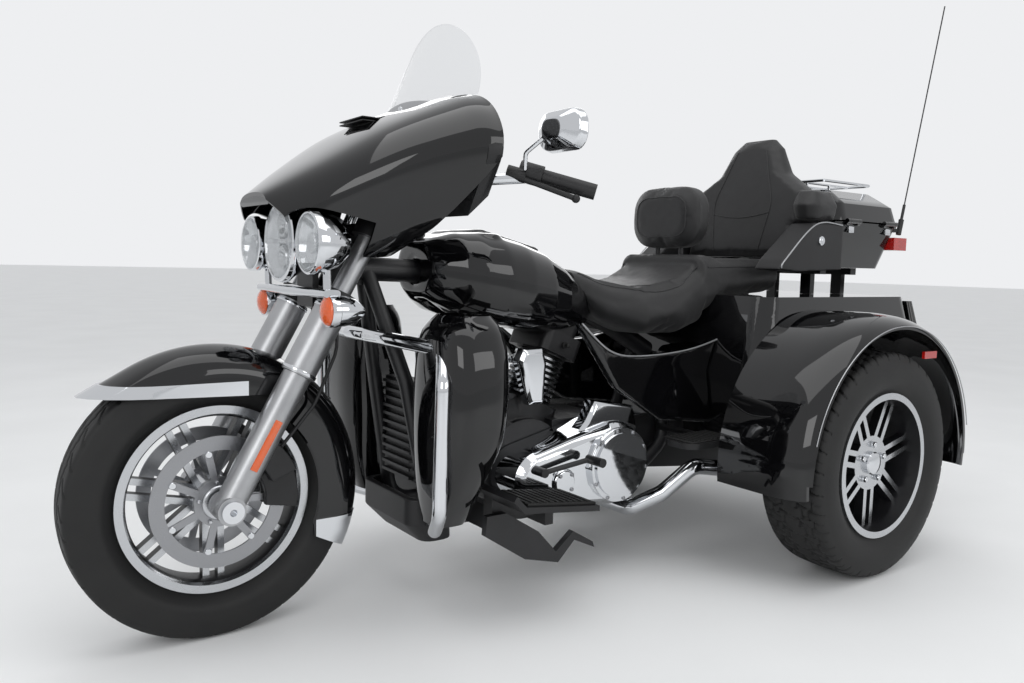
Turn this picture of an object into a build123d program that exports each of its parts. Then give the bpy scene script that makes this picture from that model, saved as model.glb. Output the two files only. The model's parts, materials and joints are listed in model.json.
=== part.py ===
from build123d import *
import math
import os

# A touring motor trike: one wheel in front in a telescopic fork with a fork-mounted fairing,
# an air-cooled V twin, a two-up saddle, and a car-sized axle under a luggage body behind.
# Millimetres. x is forward and is measured from the rear axle, y is to the rider's left and z is
# up from the floor. On export every piece is moved so that the origin is under the middle.

# Running gear
WHEELBASE = 1670.0
HALF_TRACK = 576.0
FRONT_RADIUS = 318.0
REAR_RADIUS = 324.0
FRONT_TYRE_WIDTH = 130.0
REAR_TYRE_WIDTH = 205.0
FRONT_RIM_WIDTH = 90.0
REAR_RIM_WIDTH = 178.0
FRONT_RIM_RADIUS = 215.0
REAR_RIM_RADIUS = 207.0
RIM_WALL = 7.0
SPOKE_PAIRS = 7
AXLE_RADIUS = 14.0
STUB_RADIUS = 22.0
SHAFT_GAP = 0.1
SEAT_GAP = 0.3

# Steering: the steering axis meets the floor TRAIL ahead of the front contact patch
RAKE = 26.0
TRAIL = 100.0
FORK_ANGLE = 29.0
FORK_HALF_SPACING = 122.0
STEER_FLOOR_X = WHEELBASE + TRAIL

# Overall reach, which sets the origin: the front tyre's nose and the antenna's tip
ANTENNA_BASE = (-662.0, 285.0, 1051.0)
ANTENNA_TIP = (-856.0, 285.0, 1830.0)
ORIGIN_X = (WHEELBASE + FRONT_RADIUS + ANTENNA_TIP[0]) / 2


def steer_point(height):
    """Point of the steering axis at a height above the floor."""
    return Vector(STEER_FLOOR_X - height * math.tan(math.radians(RAKE)), 0, height)


def fork_point(along, side):
    """Point of a fork leg's centre line, measured up the leg from the axle."""
    tilt = math.radians(FORK_ANGLE)
    return Vector(
        WHEELBASE - along * math.sin(tilt),
        side * FORK_HALF_SPACING,
        FRONT_RADIUS + along * math.cos(tilt),
    )


def rod(start, end, radius):
    """Round bar between two points."""
    start, end = Vector(*start), Vector(*end)
    line = end - start
    return extrude(Plane(origin=start, z_dir=line) * Circle(radius), line.length)


ELBOW_TURN = 20.0


def bent_tube(points, radius, bend):
    """Round bar along straight runs joined by elbows of one bend radius, each mitred in short lengths."""
    points = [Vector(*point) for point in points]
    stops = [points[0]]
    for before, corner, after in zip(points, points[1:], points[2:]):
        back, ahead = (before - corner).normalized(), (after - corner).normalized()
        turn = math.pi - math.radians(back.get_angle(ahead))
        centre = corner + (back + ahead).normalized() * (bend / math.cos(turn / 2))
        start = corner + back * (bend * math.tan(turn / 2))
        count = max(1, round(math.degrees(turn) / ELBOW_TURN))
        arm = start - centre
        for k in range(count + 1):
            angle = turn * k / count
            stops.append(centre + arm * math.cos(angle) - back * (bend * math.sin(angle)))
    path = Polyline(*stops, points[-1])
    section = Plane(origin=stops[0], z_dir=stops[1] - stops[0]) * Circle(radius)
    return sweep(section, path=path, transition=Transition.RIGHT)


def disc_y(x, z, radius, low_y, high_y):
    """Round plate whose axis is across the vehicle."""
    return Pos(x, (low_y + high_y) / 2, z) * Rot(90, 0, 0) * Cylinder(radius, high_y - low_y)


def block(low, high):
    """Box given by its lowest and highest corners."""
    size = [b - a for a, b in zip(low, high)]
    centre = [(a + b) / 2 for a, b in zip(low, high)]
    return Pos(*centre) * Box(*size)


def side_profile(points, low_y, high_y):
    """Prism across the vehicle on an outline in the side view, given as x and z."""
    face = make_face(Polyline(*[(x, z) for x, z in points], close=True))
    sketch = Plane(origin=(0, high_y, 0), x_dir=(1, 0, 0), z_dir=(0, -1, 0)) * face
    return extrude(sketch, high_y - low_y)


def eased(rows, steps):
    """The rows of a table with steps - 1 more between each two, on a smooth curve through them."""
    found = []
    for n in range(len(rows) - 1):
        before, low, high, after = rows[max(n - 1, 0)], rows[n], rows[n + 1], rows[min(n + 2, len(rows) - 1)]
        for t in [k / steps for k in range(steps)]:
            found.append(
                tuple(
                    b
                    + (c - a) * t / 2
                    + (2 * a - 5 * b + 4 * c - d) * t**2 / 2
                    + (3 * b - a - 3 * c + d) * t**3 / 2
                    for a, b, c, d in zip(before, low, high, after)
                )
            )
    return [*found, rows[-1]]


def box_sections(axis, table):
    """Straight-sided loft through rounded rectangles. Rows hold station, centre, size and corner."""
    faces = []
    for station, u, v, wide, high, corner in table:
        if axis == "x":
            plane = Plane(origin=(station, u, v), x_dir=(0, 1, 0), z_dir=(1, 0, 0))
        elif axis == "y":
            plane = Plane(origin=(u, station, v), x_dir=(1, 0, 0), z_dir=(0, -1, 0))
        else:
            plane = Plane(origin=(u, v, station), x_dir=(1, 0, 0), z_dir=(0, 0, 1))
        faces.append(plane * RectangleRounded(wide, high, corner))
    return loft(faces, ruled=True)


def turned_x(profile, y, z):
    """Solid of revolution about a fore and aft line. The profile is a closed list of (x, radius)."""
    face = make_face(Polyline(*profile, close=True))
    sketch = Plane(origin=(0, y, z), x_dir=(1, 0, 0), z_dir=(0, -1, 0)) * face
    return revolve(sketch, Axis((0, y, z), (1, 0, 0)), 360)


def both_sides(solid):
    """A solid of the left side and its mirror image on the right."""
    return Compound(children=[solid, mirror(solid, about=Plane.XZ)])


# Wheels
def ring_about_axle(profile, x, z, y_centre):
    """Solid of revolution about a wheel's axle. The profile is a closed list of (y, radius)."""
    face = make_face(Polyline(*profile, close=True))
    sketch = Plane(origin=(x, y_centre, z), x_dir=(0, 1, 0), z_dir=(1, 0, 0)) * face
    return revolve(sketch, Axis((x, y_centre, z), (0, 1, 0)), 360)


def tyre(x, y_centre, radius, width, rim_radius, rim_width):
    """Tyre with bulged sidewalls and a crowned tread, closed on the rim's seat between its flanges."""
    half, bead = width / 2, rim_width / 2 - RIM_WALL - SEAT_GAP
    seat, lip = rim_radius - 1.6 * RIM_WALL + SEAT_GAP, rim_radius + 3
    shoulder = radius - 0.28 * (radius - rim_radius)
    side = [
        (bead, lip),
        (half, (lip + shoulder) / 2),
        (0.97 * half, shoulder),
        (0.84 * half, radius - 0.22 * (radius - shoulder)),
        (0.45 * half, radius),
    ]
    mirrored = [(-y, r) for y, r in reversed(side)]
    return ring_about_axle([(-bead, seat), (bead, seat), *side, *mirrored], x, radius, y_centre)


def rim(x, y_centre, radius, rim_radius, rim_width, face_y, hub, outward):
    """Cast rim: barrel with flanges, hub, and pairs of spokes on a plane face_y outboard of centre.

    hub is (radius, inner end, outer end, bore), its ends measured outboard of the centre."""
    half = rim_width / 2
    seat = rim_radius - 1.6 * RIM_WALL
    barrel = ring_about_axle(
        [
            (-half, rim_radius),
            (-half + RIM_WALL, rim_radius),
            (-half + RIM_WALL, seat),
            (half - RIM_WALL, seat),
            (half - RIM_WALL, rim_radius),
            (half, rim_radius),
            (half, seat - RIM_WALL),
            (0.55 * half, seat - 2.2 * RIM_WALL),
            (-0.55 * half, seat - 2.2 * RIM_WALL),
            (-half, seat - RIM_WALL),
        ],
        x,
        radius,
        y_centre,
    )
    hub_radius, hub_in, hub_out, bore = hub
    ends = sorted((y_centre + outward * hub_in, y_centre + outward * hub_out))
    body = barrel + disc_y(x, radius, hub_radius, *ends)
    spoke_width, spoke_depth, spoke_offset = 15.0, 26.0, 17.0
    inner, outer = 0.5 * hub_radius, seat - 1.6 * RIM_WALL
    spoke_y = y_centre + outward * face_y
    for pair in range(SPOKE_PAIRS):
        for side in (-1, 1):
            bar = Pos((inner + outer) / 2, 0, side * spoke_offset) * Box(
                outer - inner, spoke_depth, spoke_width
            )
            body += Pos(x, spoke_y, radius) * Rot(0, 90 + pair * 360 / SPOKE_PAIRS, 0) * bar
    return body - disc_y(x, radius, bore, ends[0] - 1, ends[1] + 1)


FRONT_HUB = (48.0, -54.0, 54.0, AXLE_RADIUS + SHAFT_GAP)
REAR_FACE_Y = 32.0
REAR_HUB = (78.0, -45.0, 45.0, STUB_RADIUS + SHAFT_GAP)


def front_discs():
    """Two brake discs, each a ring on a spider of seven arms."""
    disc_radius, disc_inner, disc_y_mid, thick = DISC_RADIUS, 118.0, DISC_MID_Y, DISC_THICK
    carrier_radius, arm_width = 56.0, 16.0
    discs = []
    for side in (-1, 1):
        low, high = side * disc_y_mid - thick / 2, side * disc_y_mid + thick / 2
        ring = disc_y(WHEELBASE, FRONT_RADIUS, disc_radius, low, high)
        ring -= disc_y(WHEELBASE, FRONT_RADIUS, disc_inner, low - 1, high + 1)
        hat_low, hat_high = sorted((side * (FRONT_HUB[2] + SEAT_GAP), side * (disc_y_mid + thick / 2)))
        ring += disc_y(WHEELBASE, FRONT_RADIUS, carrier_radius, hat_low, hat_high)
        for arm in range(7):
            bar = Pos((carrier_radius + disc_inner) / 2, 0, 0) * Box(
                disc_inner - carrier_radius + 20, thick, arm_width
            )
            ring += Pos(WHEELBASE, side * disc_y_mid, FRONT_RADIUS) * Rot(0, 25 + arm * 360 / 7, 0) * bar
        bore = disc_y(WHEELBASE, FRONT_RADIUS, FRONT_HUB[3] + 4, hat_low - 1, hat_high + 1)
        discs.append(ring - bore)
    return Compound(children=discs)


# Fork and what turns with it
SLIDER_RADIUS, SLIDER_TOP = 33.0, 326.0
TUBE_RADIUS, TUBE_TOP = 24.5, 745.0
COVER_RADIUS, COVER_BOTTOM, COVER_TOP = 39.0, 327.0, 500.0
CLAMP_LOW_Z, CLAMP_HIGH_Z, CLAMP_THICK = 748.0, 908.0, 34.0
STEM_RADIUS = 16.0
HEAD_RADIUS = 34.0


def fork_legs():
    """Sliders with their axle bosses, and the fork tubes that they run on."""
    legs = []
    for side in (-1, 1):
        leg = rod(fork_point(-20, side), fork_point(SLIDER_TOP, side), SLIDER_RADIUS)
        leg += rod(fork_point(SLIDER_TOP - 10, side), fork_point(TUBE_TOP, side), TUBE_RADIUS)
        boss_out, boss_in = side * (FORK_HALF_SPACING + 36), side * (FORK_HALF_SPACING - 36)
        leg += disc_y(WHEELBASE, FRONT_RADIUS, 31, *sorted((boss_out, boss_in)))
        leg -= disc_y(WHEELBASE, FRONT_RADIUS, AXLE_RADIUS + SHAFT_GAP, -200, 200)
        legs.append(leg)
    return Compound(children=legs)


def fork_covers():
    """Bright covers round the fork tubes between the sliders and the lower clamp."""
    covers = []
    for side in (-1, 1):
        cover = rod(fork_point(COVER_BOTTOM, side), fork_point(COVER_TOP, side), COVER_RADIUS)
        bore = rod(
            fork_point(COVER_BOTTOM - 5, side), fork_point(COVER_TOP + 5, side), TUBE_RADIUS + SEAT_GAP
        )
        covers.append(cover - bore)
    return Compound(children=covers)


STEER_AXIS = Vector(-math.sin(math.radians(RAKE)), 0, math.cos(math.radians(RAKE)))
CLAMP_DEEP, CLAMP_BOSS = 64.0, 42.0
STRAP_BACK_X, STRAP_FRONT_X = 1431.0, 1446.0


def clamp_plate(height, grow=0.0):
    """Plate across the steering axis with a boss round each fork tube."""
    start = steer_point(height) - STEER_AXIS * grow
    plane = Plane(origin=start, x_dir=(0, 1, 0), z_dir=STEER_AXIS)
    leg = fork_point((height + CLAMP_THICK / 2 - FRONT_RADIUS) / math.cos(math.radians(FORK_ANGLE)), 1)
    ahead = (leg - steer_point(height + CLAMP_THICK / 2)).X * math.cos(math.radians(RAKE))
    shape = RectangleRounded(2 * FORK_HALF_SPACING, CLAMP_DEEP + 2 * grow, 12)
    for side in (-1, 1):
        shape += Pos(side * FORK_HALF_SPACING, -ahead) * Circle(CLAMP_BOSS + grow)
    return extrude(plane * shape, CLAMP_THICK + 2 * grow)


def fork_clamps():
    """Lower and upper clamps on the steering stem, bored for the fork tubes, and the lamp strap."""
    whole = clamp_plate(CLAMP_LOW_Z) + clamp_plate(CLAMP_HIGH_Z)
    whole += rod(steer_point(CLAMP_LOW_Z + 5), steer_point(CLAMP_HIGH_Z + 40), STEM_RADIUS)
    whole += block((1415, -48, 752), (STRAP_FRONT_X, 48, 772))
    whole += block((STRAP_BACK_X, -48, 752), (STRAP_FRONT_X, 48, 945))
    whole += block((1338, -48, 926), (STRAP_FRONT_X, 48, 945))
    for side in (-1, 1):
        whole -= rod(fork_point(350, side), fork_point(TUBE_TOP + 120, side), TUBE_RADIUS + SEAT_GAP)
    return whole


def front_axle():
    """Axle through both fork legs, with a hollow end on the left."""
    reach = FORK_HALF_SPACING + 44
    bar = disc_y(WHEELBASE, FRONT_RADIUS, AXLE_RADIUS, -reach, reach)
    bar += disc_y(WHEELBASE, FRONT_RADIUS, 24, FORK_HALF_SPACING + 36 + SEAT_GAP, reach)
    bar += disc_y(WHEELBASE, FRONT_RADIUS, 24, -reach, -FORK_HALF_SPACING - 36 - SEAT_GAP)
    return bar - disc_y(WHEELBASE, FRONT_RADIUS, AXLE_HOLE_RADIUS, reach - AXLE_HOLE_DEPTH, reach + 1)


AXLE_HOLE_RADIUS = 8.0
AXLE_HOLE_DEPTH = 30.0


CALIPER_INNER, CALIPER_OUTER = 98.0, 174.0
CALIPER_FROM, CALIPER_TO = 148.0, 190.0
DISC_RADIUS, DISC_MID_Y, DISC_THICK = 150.0, 64.0, 5.0


HOSE_RADIUS = 4.5
HOSE_POINTS = [(1552, 100, 424), (1462, 104, 530), (1404, 92, 650), (1392, 72, 762)]


def wedge_y(x, z, radius, start, end, low_y, high_y):
    """Pie-shaped prism about an axle, between two angles from forward towards up."""
    rim_at = [
        (x + radius * math.cos(math.radians(a)), z + radius * math.sin(math.radians(a)))
        for a in (start, (start + end) / 2, end)
    ]
    return side_profile([(x, z), *rim_at], low_y, high_y)


def front_calipers():
    """Four-piston calipers behind the fork legs, astride the discs, with hoses up to the lower clamp."""
    calipers = []
    for side in (-1, 1):
        low, high = sorted((side * (DISC_MID_Y - 20), side * (DISC_MID_Y + 24)))
        body = disc_y(WHEELBASE, FRONT_RADIUS, CALIPER_OUTER, low, high)
        body -= disc_y(WHEELBASE, FRONT_RADIUS, CALIPER_INNER, low - 1, high + 1)
        body &= wedge_y(WHEELBASE, FRONT_RADIUS, 260, CALIPER_FROM, CALIPER_TO, low, high)
        slot_low, slot_high = DISC_MID_Y - DISC_THICK / 2 - 3, DISC_MID_Y + DISC_THICK / 2 + 3
        body -= disc_y(
            WHEELBASE, FRONT_RADIUS, DISC_RADIUS + 5, *sorted((side * slot_low, side * slot_high))
        )
        lug = disc_y(WHEELBASE, FRONT_RADIUS, CALIPER_OUTER, *sorted((side * 86, side * 116)))
        lug -= disc_y(WHEELBASE, FRONT_RADIUS, 112, *sorted((side * 85, side * 117)))
        near, far = sorted((side * 80, side * 120))
        lug &= wedge_y(WHEELBASE, FRONT_RADIUS, 260, 120, CALIPER_FROM + 10, near, far)
        body += lug
        body -= rod(fork_point(-20, side), fork_point(SLIDER_TOP, side), SLIDER_RADIUS + SEAT_GAP)
        hose = bent_tube([(x, side * y, z) for x, y, z in HOSE_POINTS], HOSE_RADIUS, 60)
        body += hose - clamp_plate(CLAMP_LOW_Z, SEAT_GAP)
        calipers.append(max(body.solids(), key=lambda solid: solid.volume))
    return Compound(children=calipers)


FENDER_INNER, FENDER_WALL, FENDER_HALF = 340.0, 4.0, 82.0
FENDER_START, FENDER_END, FENDER_TIP = 60.0, 207.0, 124.0
FENDER_SKIRT = 232.0
FENDER_SECTION = [(1.0, 64.0), (0.95, 40.0), (0.80, 18.0), (0.50, 3.0), (0.16, -6.0)]


def fender_shell(grow):
    """Deep fender section swept round the front axle; grow moves its outer skin outwards."""
    out_r, half = FENDER_INNER + FENDER_WALL + grow, FENDER_HALF + grow
    in_r, in_half = FENDER_INNER, FENDER_HALF - FENDER_WALL
    outer = [
        (half, FENDER_SKIRT),
        *[(across * half, out_r - drop) for across, drop in FENDER_SECTION],
        *[(-across * half, out_r - drop) for across, drop in reversed(FENDER_SECTION)],
        (-half, FENDER_SKIRT),
        (-in_half, FENDER_SKIRT),
        *[(-across * in_half, in_r - drop) for across, drop in FENDER_SECTION],
        *[(across * in_half, in_r - drop) for across, drop in reversed(FENDER_SECTION)],
        (in_half, FENDER_SKIRT),
    ]
    section = make_face(Polyline(*outer, close=True))
    centre = Pos(WHEELBASE, 0, FRONT_RADIUS)
    plane = Plane(origin=(0, 0, 0), x_dir=(0, 1, 0), z_dir=(1, 0, 0))
    solid = revolve(plane * section, Axis.Y, FENDER_START - FENDER_END)
    solid = Rot(0, 90 - FENDER_START, 0) * solid
    tip = Rot(0, 90 - FENDER_START, 0) * extrude(plane * section, FENDER_TIP)
    return centre * (solid + tip)


FENDER_CUT = [
    (2100, 566),
    (1900, 566),
    (1560, 556),
    (1500, 470),
    (1462, 330),
    (1448, 140),
    (2100, 140),
]


def front_fender():
    """Deep fender: its side skirts end at the trim line in front and drop behind the fork."""
    shell = fender_shell(0)
    shell -= side_profile(FENDER_CUT, -150, 150)
    bolt = fork_point(250, 1)
    for side in (-1, 1):
        boss = disc_y(bolt.X, bolt.Z, 15, *sorted((side * (FENDER_HALF - 2), side * FORK_HALF_SPACING)))
        shell += boss - rod(fork_point(100, side), fork_point(SLIDER_TOP, side), SLIDER_RADIUS + SEAT_GAP)
    return max(shell.solids(), key=lambda solid: solid.volume)


def fender_trim():
    """Bright strip round the fender's front lip and along both sides, and a shoe at its rear end."""
    skin = fender_shell(3.0) - fender_shell(0)
    skin -= side_profile(FENDER_CUT, -150, 150)
    front = skin & block((1610, -150, 556), (2100, 150, 590))
    rear = skin & block((1300, -150, 150), (1450, 150, 246))
    return Compound(children=[*front.solids(), *rear.solids()])


# Fairing: rows are station x, half width and height of the top edge, of the wing tip and of the
# bottom edge, then the corner radius
FAIRING_ROWS = [
    (1572, 62, 1014, 114, 930, 62, 822, 38),
    (1470, 125, 1088, 235, 985, 120, 812, 55),
    (1330, 190, 1182, 335, 1060, 190, 835, 65),
    (1200, 226, 1246, 392, 1108, 265, 905, 62),
    (1142, 236, 1266, 405, 1115, 300, 948, 60),
]
FAIRING_WALL = 6.0
FAIRING_BROW = 0.70


def fairing_loft(shrink, front, back):
    """Fairing form through rounded hexagons, shrunk evenly for its inner face."""
    faces = []
    rows = eased(FAIRING_ROWS, 2)
    for x, top, top_z, tip, tip_z, low, low_z, corner in rows:
        at = x + (front if x == rows[0][0] else back if x == rows[-1][0] else 0)
        s = shrink
        brow, brow_z = top + FAIRING_BROW * (tip - top), tip_z + FAIRING_BROW * (top_z - tip_z)
        half = [
            (low - 0.6 * s, low_z + s),
            (tip - 1.2 * s, tip_z),
            (brow - 0.9 * s, brow_z - 0.6 * s),
            (top - 0.6 * s, top_z - s),
        ]
        points = [*half, *[(-y, z) for y, z in reversed(half)]]
        outline = FilletPolyline(*points, radius=corner - 0.5 * s, close=True)
        plane = Plane(origin=(at, 0, 0), x_dir=(0, 1, 0), z_dir=(1, 0, 0))
        faces.append(plane * make_face(outline))
    return loft(faces, ruled=True)


FAIRING_BACK_CUT = [(1080, 1120), (1136, 1110), (1249, 940), (1336, 850), (1380, 780), (1080, 780)]
PASSING_X, PASSING_Y, PASSING_Z, PASSING_RADIUS = 1516.0, 187.0, 900.0, 70.0
FAIRING_SLANT = [(1640, 1012), (1574, 996), (1436, 790), (1640, 790)]


def fairing():
    """Fork-mounted fairing shell, open behind, with a slanted mouth for the headlamp and an air slot."""
    shell = fairing_loft(0, 0, 0) - fairing_loft(FAIRING_WALL, -FAIRING_WALL, -2)
    shell -= side_profile(FAIRING_SLANT, -300, 300)
    shell -= side_profile(FAIRING_BACK_CUT, -450, 450)
    shell -= block((1100, -182, 780), (1480, 182, 932))
    for side in (-1, 1):
        lamp_y = side * PASSING_Y
        shell -= rod((1380, lamp_y, PASSING_Z), (1560, lamp_y, PASSING_Z), PASSING_RADIUS + 6)
    slot = box_sections("x", [(1250, 0, 1206, 150, 20, 8), (1360, 0, 1196, 150, 20, 8)])
    return max((shell - slot).solids(), key=lambda s: s.volume)


def inner_fairing():
    """Dash that closes the fairing's back, with gauges and speakers, and holes for the bar."""
    x = FAIRING_ROWS[-1][0]
    dash = fairing_loft(FAIRING_WALL + SEAT_GAP, -20, -4) & block((x + 3, -450, 900), (x + 36, 450, 1300))
    for side in (-1, 1):
        dash += Pos(x - 2, side * 262, 1136) * Rot(0, 90, 0) * Cylinder(58, 22)
        dash += Pos(x - 6, side * 58, 1172) * Rot(0, 90, 0) * Cylinder(50, 30)
        dash += Pos(x - 2, side * 158, 1168) * Rot(0, 90, 0) * Cylinder(30, 22)
    dash += block((x - 10, -78, 1030), (x + 10, 78, 1108))
    dash -= side_profile(DASH_CUT, -450, 450)
    for side in (-1, 1):
        dash -= bar_half(side, SEAT_GAP)
    return max(dash.solids(), key=lambda solid: solid.volume)


DASH_CUT = [(1080, 1040), (1136, 1030), (1230, 900), (1080, 900)]
WINDSHIELD_WALL = 5.0


def windshield():
    """Tall clear screen, curved across, cut to a rounded outline."""
    lean = math.radians(24)
    base = Vector(1196, 0, 1236)
    bend, half_angle = 420.0, 36.0
    arc_out = CenterArc((0, 0), bend, -half_angle, 2 * half_angle)
    arc_in = CenterArc((0, 0), bend - WINDSHIELD_WALL, -half_angle, 2 * half_angle)
    band = make_face([arc_out, Line(arc_out @ 1, arc_in @ 1), arc_in, Line(arc_in @ 0, arc_out @ 0)])
    up = Vector(-math.sin(lean), 0, math.cos(lean))
    ahead = Vector(math.cos(lean), 0, math.sin(lean))
    plane = Plane(origin=base - ahead * bend, x_dir=ahead, z_dir=up)
    pane = extrude(plane * band, 270)
    outline = Plane(origin=base - ahead * 600, x_dir=(0, 1, 0), z_dir=ahead)
    shape = make_face(
        [
            Line((-222, 8), (222, 8)),
            ThreePointArc((222, 8), (196, 150), (110, 232)),
            ThreePointArc((110, 232), (0, 258), (-110, 232)),
            ThreePointArc((-110, 232), (-196, 150), (-222, 8)),
        ]
    )
    pane &= extrude(outline * shape, 900)
    pane -= fairing_loft(-SEAT_GAP, 0, -SEAT_GAP)
    pane -= fairing_loft(-SEAT_GAP, 0, -60)
    return max(pane.solids(), key=lambda solid: solid.volume)


def lamp(x, y, z, radius, depth, tail):
    """Round lamp: bezel, domed lens and a bowl that narrows behind it."""
    dome = 18.0
    ball = (radius**2 + dome**2) / (2 * dome)
    half = 0.5 * radius
    outline = make_face(
        [
            Polyline(
                (0, 16),
                (0, -depth),
                (tail, -depth),
                (0.78 * radius, -0.72 * depth),
                (0.91 * radius, -0.42 * depth),
                (0.94 * radius, -20),
                (radius, -18),
                (radius, -2),
            ),
            ThreePointArc((radius, -2), (half, 16 - ball + math.sqrt(ball**2 - half**2)), (0, 16)),
        ]
    )
    sketch = Plane(origin=(x, y, z), x_dir=(0, 0, 1), z_dir=(0, 1, 0)) * outline
    return revolve(sketch, Axis((x, y, z), (1, 0, 0)), 360)


def headlamp():
    """Headlamp in the fairing's mouth, on a tail that reaches the upper clamp's bracket."""
    front_x = 1512.0
    return lamp(front_x, 0, 905, 97, front_x - STRAP_FRONT_X - SEAT_GAP, 60)


def front_lamps():
    """Bar across the fork with two passing lamps and two turn signals."""
    bar = box_sections(
        "y",
        [
            (-215, STRAP_FRONT_X + 23, 790, 40, 18, 6),
            (0, STRAP_FRONT_X + SEAT_GAP + 23, 790, 46, 26, 8),
            (215, STRAP_FRONT_X + 23, 790, 40, 18, 6),
        ],
    )
    for side in (-1, 1):
        bar += lamp(PASSING_X, side * PASSING_Y, PASSING_Z, PASSING_RADIUS, 88, 34)
        bar += rod((1468, side * PASSING_Y, 790), (1470, side * PASSING_Y, 850), 9)
        bar += lamp(1476, side * 206, 752, 37, 84, 14)
    bar -= clamp_plate(CLAMP_LOW_Z, SEAT_GAP)
    return max(bar.solids(), key=lambda solid: solid.volume)


GRIP_IN, GRIP_OUT = (1010.0, 352.0, 1070.0), (912.0, 436.0, 1036.0)


def bar_half(side, grow=0.0):
    """One side of the handlebar, from the middle to inside its grip."""
    inner = (GRIP_IN[0], side * GRIP_IN[1], GRIP_IN[2])
    outer = (GRIP_OUT[0], side * GRIP_OUT[1], GRIP_OUT[2])
    middle = tuple((a + b) / 2 for a, b in zip(inner, outer))
    return bent_tube(
        [(1300, 0, 1000), (1282, side * 150, 1004), (1150, side * 276, 1056), inner, middle],
        14 + grow,
        30,
    )


def handlebar():
    """Swept-back bar on two risers of the upper clamp."""
    bar = bar_half(1) + bar_half(-1)
    for side in (-1, 1):
        foot = steer_point(CLAMP_HIGH_Z) + STEER_AXIS * (CLAMP_THICK + SEAT_GAP) + Vector(0, side * 66, 0)
        bar += rod(foot, foot + STEER_AXIS * 66, 15)
    return bar


def hand_controls():
    """Grips, switch housings, levers and their perches."""
    parts = []
    for side in (-1, 1):
        a = Vector(GRIP_IN[0], side * GRIP_IN[1], GRIP_IN[2])
        b = Vector(GRIP_OUT[0], side * GRIP_OUT[1], GRIP_OUT[2])
        along = (b - a).normalized()
        inner = a + along * 4
        grip = rod(inner, b, 18.5)
        housing = rod(a - along * 52, inner, 25)
        perch = rod(a - along * 60 + Vector(26, 0, -6), a - along * 14 + Vector(26, 0, -6), 16)
        lever = rod(a - along * 30 + Vector(34, 0, -10), b + Vector(54, side * -6, -18), 6.5)
        tip = Pos(*(b + Vector(54, side * -6, -18))) * Sphere(10)
        whole = grip + housing + perch + lever + tip
        whole -= bar_half(side, SEAT_GAP)
        parts.append(max(whole.solids(), key=lambda solid: solid.volume))
    return Compound(children=parts)


def mirrors():
    """Stalks from the perches with shell-shaped mirrors."""
    parts = []
    for side in (-1, 1):
        stalk = bent_tube(
            [(1056, side * 352, 1080), (1066, side * 366, 1118), (1040, side * 420, 1160)], 5.5, 14
        )
        head = box_sections(
            "x",
            [
                (1052, side * 440, 1168, 70, 44, 20),
                (1030, side * 440, 1166, 150, 86, 38),
                (1008, side * 440, 1164, 156, 92, 40),
            ],
        )
        parts.append(stalk + head)
    return Compound(children=parts)


# Chassis
FRAME_TUBE = 19.0
HEAD_LOW_Z, HEAD_HIGH_Z = 788.0, 900.0


BACKBONE_TUBE = 30.0


def backbone(grow=0.0):
    """Main tube from the steering head back under the tank and the saddle."""
    return bent_tube(
        [steer_point(846), (1080, 0, 838), (640, 0, 772), (470, 0, 690), (300, 0, 600)],
        BACKBONE_TUBE + grow,
        90,
    )


def cradle(side, grow=0.0):
    """One side of the double cradle: down tube, lower rail and the rise behind the gearbox."""
    return bent_tube(
        [
            (1288, side * 12, 836),
            (1215, side * 88, 560),
            (1150, side * 112, 205),
            (520, side * 122, 190),
            (330, side * 122, 330),
            (300, side * 60, 600),
        ],
        FRAME_TUBE + grow,
        70,
    )


CROSS_TUBES, CROSS_RADIUS = (1120.0, 560.0), 14.0


def cross_tube(x, grow=0.0):
    """Tube across the cradle's lower rails."""
    return rod((x, -118 - grow, 196), (x, 118 + grow, 196), CROSS_RADIUS + grow)


def frame_tubes():
    """Backbone, twin down tubes and cradle, welded to the steering head."""
    low, high = steer_point(HEAD_LOW_Z), steer_point(HEAD_HIGH_Z)
    head = rod(low, high, HEAD_RADIUS)
    frame = head + backbone()
    frame += side_profile([(1378, 812), (1350, 888), (1270, 866), (1270, 800)], -9, 9)
    for side in (-1, 1):
        frame += cradle(side)
    for x in CROSS_TUBES:
        frame += cross_tube(x)
    stem_bore = rod(steer_point(CLAMP_LOW_Z - 60), steer_point(CLAMP_HIGH_Z + 60), STEM_RADIUS + SHAFT_GAP)
    return frame - stem_bore


CRANK = (850.0, 300.0)
CYLINDER_LEAN = 22.5
CRANKCASE_DECK = 190.0
CYLINDER_TOP = 335.0
FIN_COUNT = 9
HORN_BACK = 118.0


def cylinder_frame(lean):
    """Plane at the crank with its normal along one cylinder."""
    a = math.radians(lean)
    return Plane(origin=(CRANK[0], 0, CRANK[1]), x_dir=(0, 1, 0), z_dir=(math.sin(a), 0, math.cos(a)))


def cylinder_cut():
    """Room for both cylinders with their seats, to cut from what bolts on to them."""
    room = None
    for lean in (CYLINDER_LEAN, -CYLINDER_LEAN):
        frame = cylinder_frame(lean)
        barrel = extrude(frame * Circle(74 + SEAT_GAP), CYLINDER_TOP)
        top = Plane(origin=frame.origin + frame.z_dir * CYLINDER_TOP, x_dir=frame.x_dir, z_dir=frame.z_dir)
        barrel += extrude(top * RectangleRounded(178 + 2 * SEAT_GAP, 140 + 2 * SEAT_GAP, 24), 102)
        room = barrel if room is None else room + barrel
    return room


def engine_cases():
    """Crankcase and gearbox."""
    case = disc_y(CRANK[0], CRANK[1], 140, -108, 108)
    for lean in (CYLINDER_LEAN, -CYLINDER_LEAN):
        case += extrude(cylinder_frame(lean) * RectangleRounded(150, 146, 20), CRANKCASE_DECK - SEAT_GAP)
    case += block((560, -104, 214), (760, 108, 430))
    case += disc_y(640, 320, 112, -104, 112)
    for side in (-1, 1):
        case -= cradle(side, SEAT_GAP)
    return case


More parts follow.
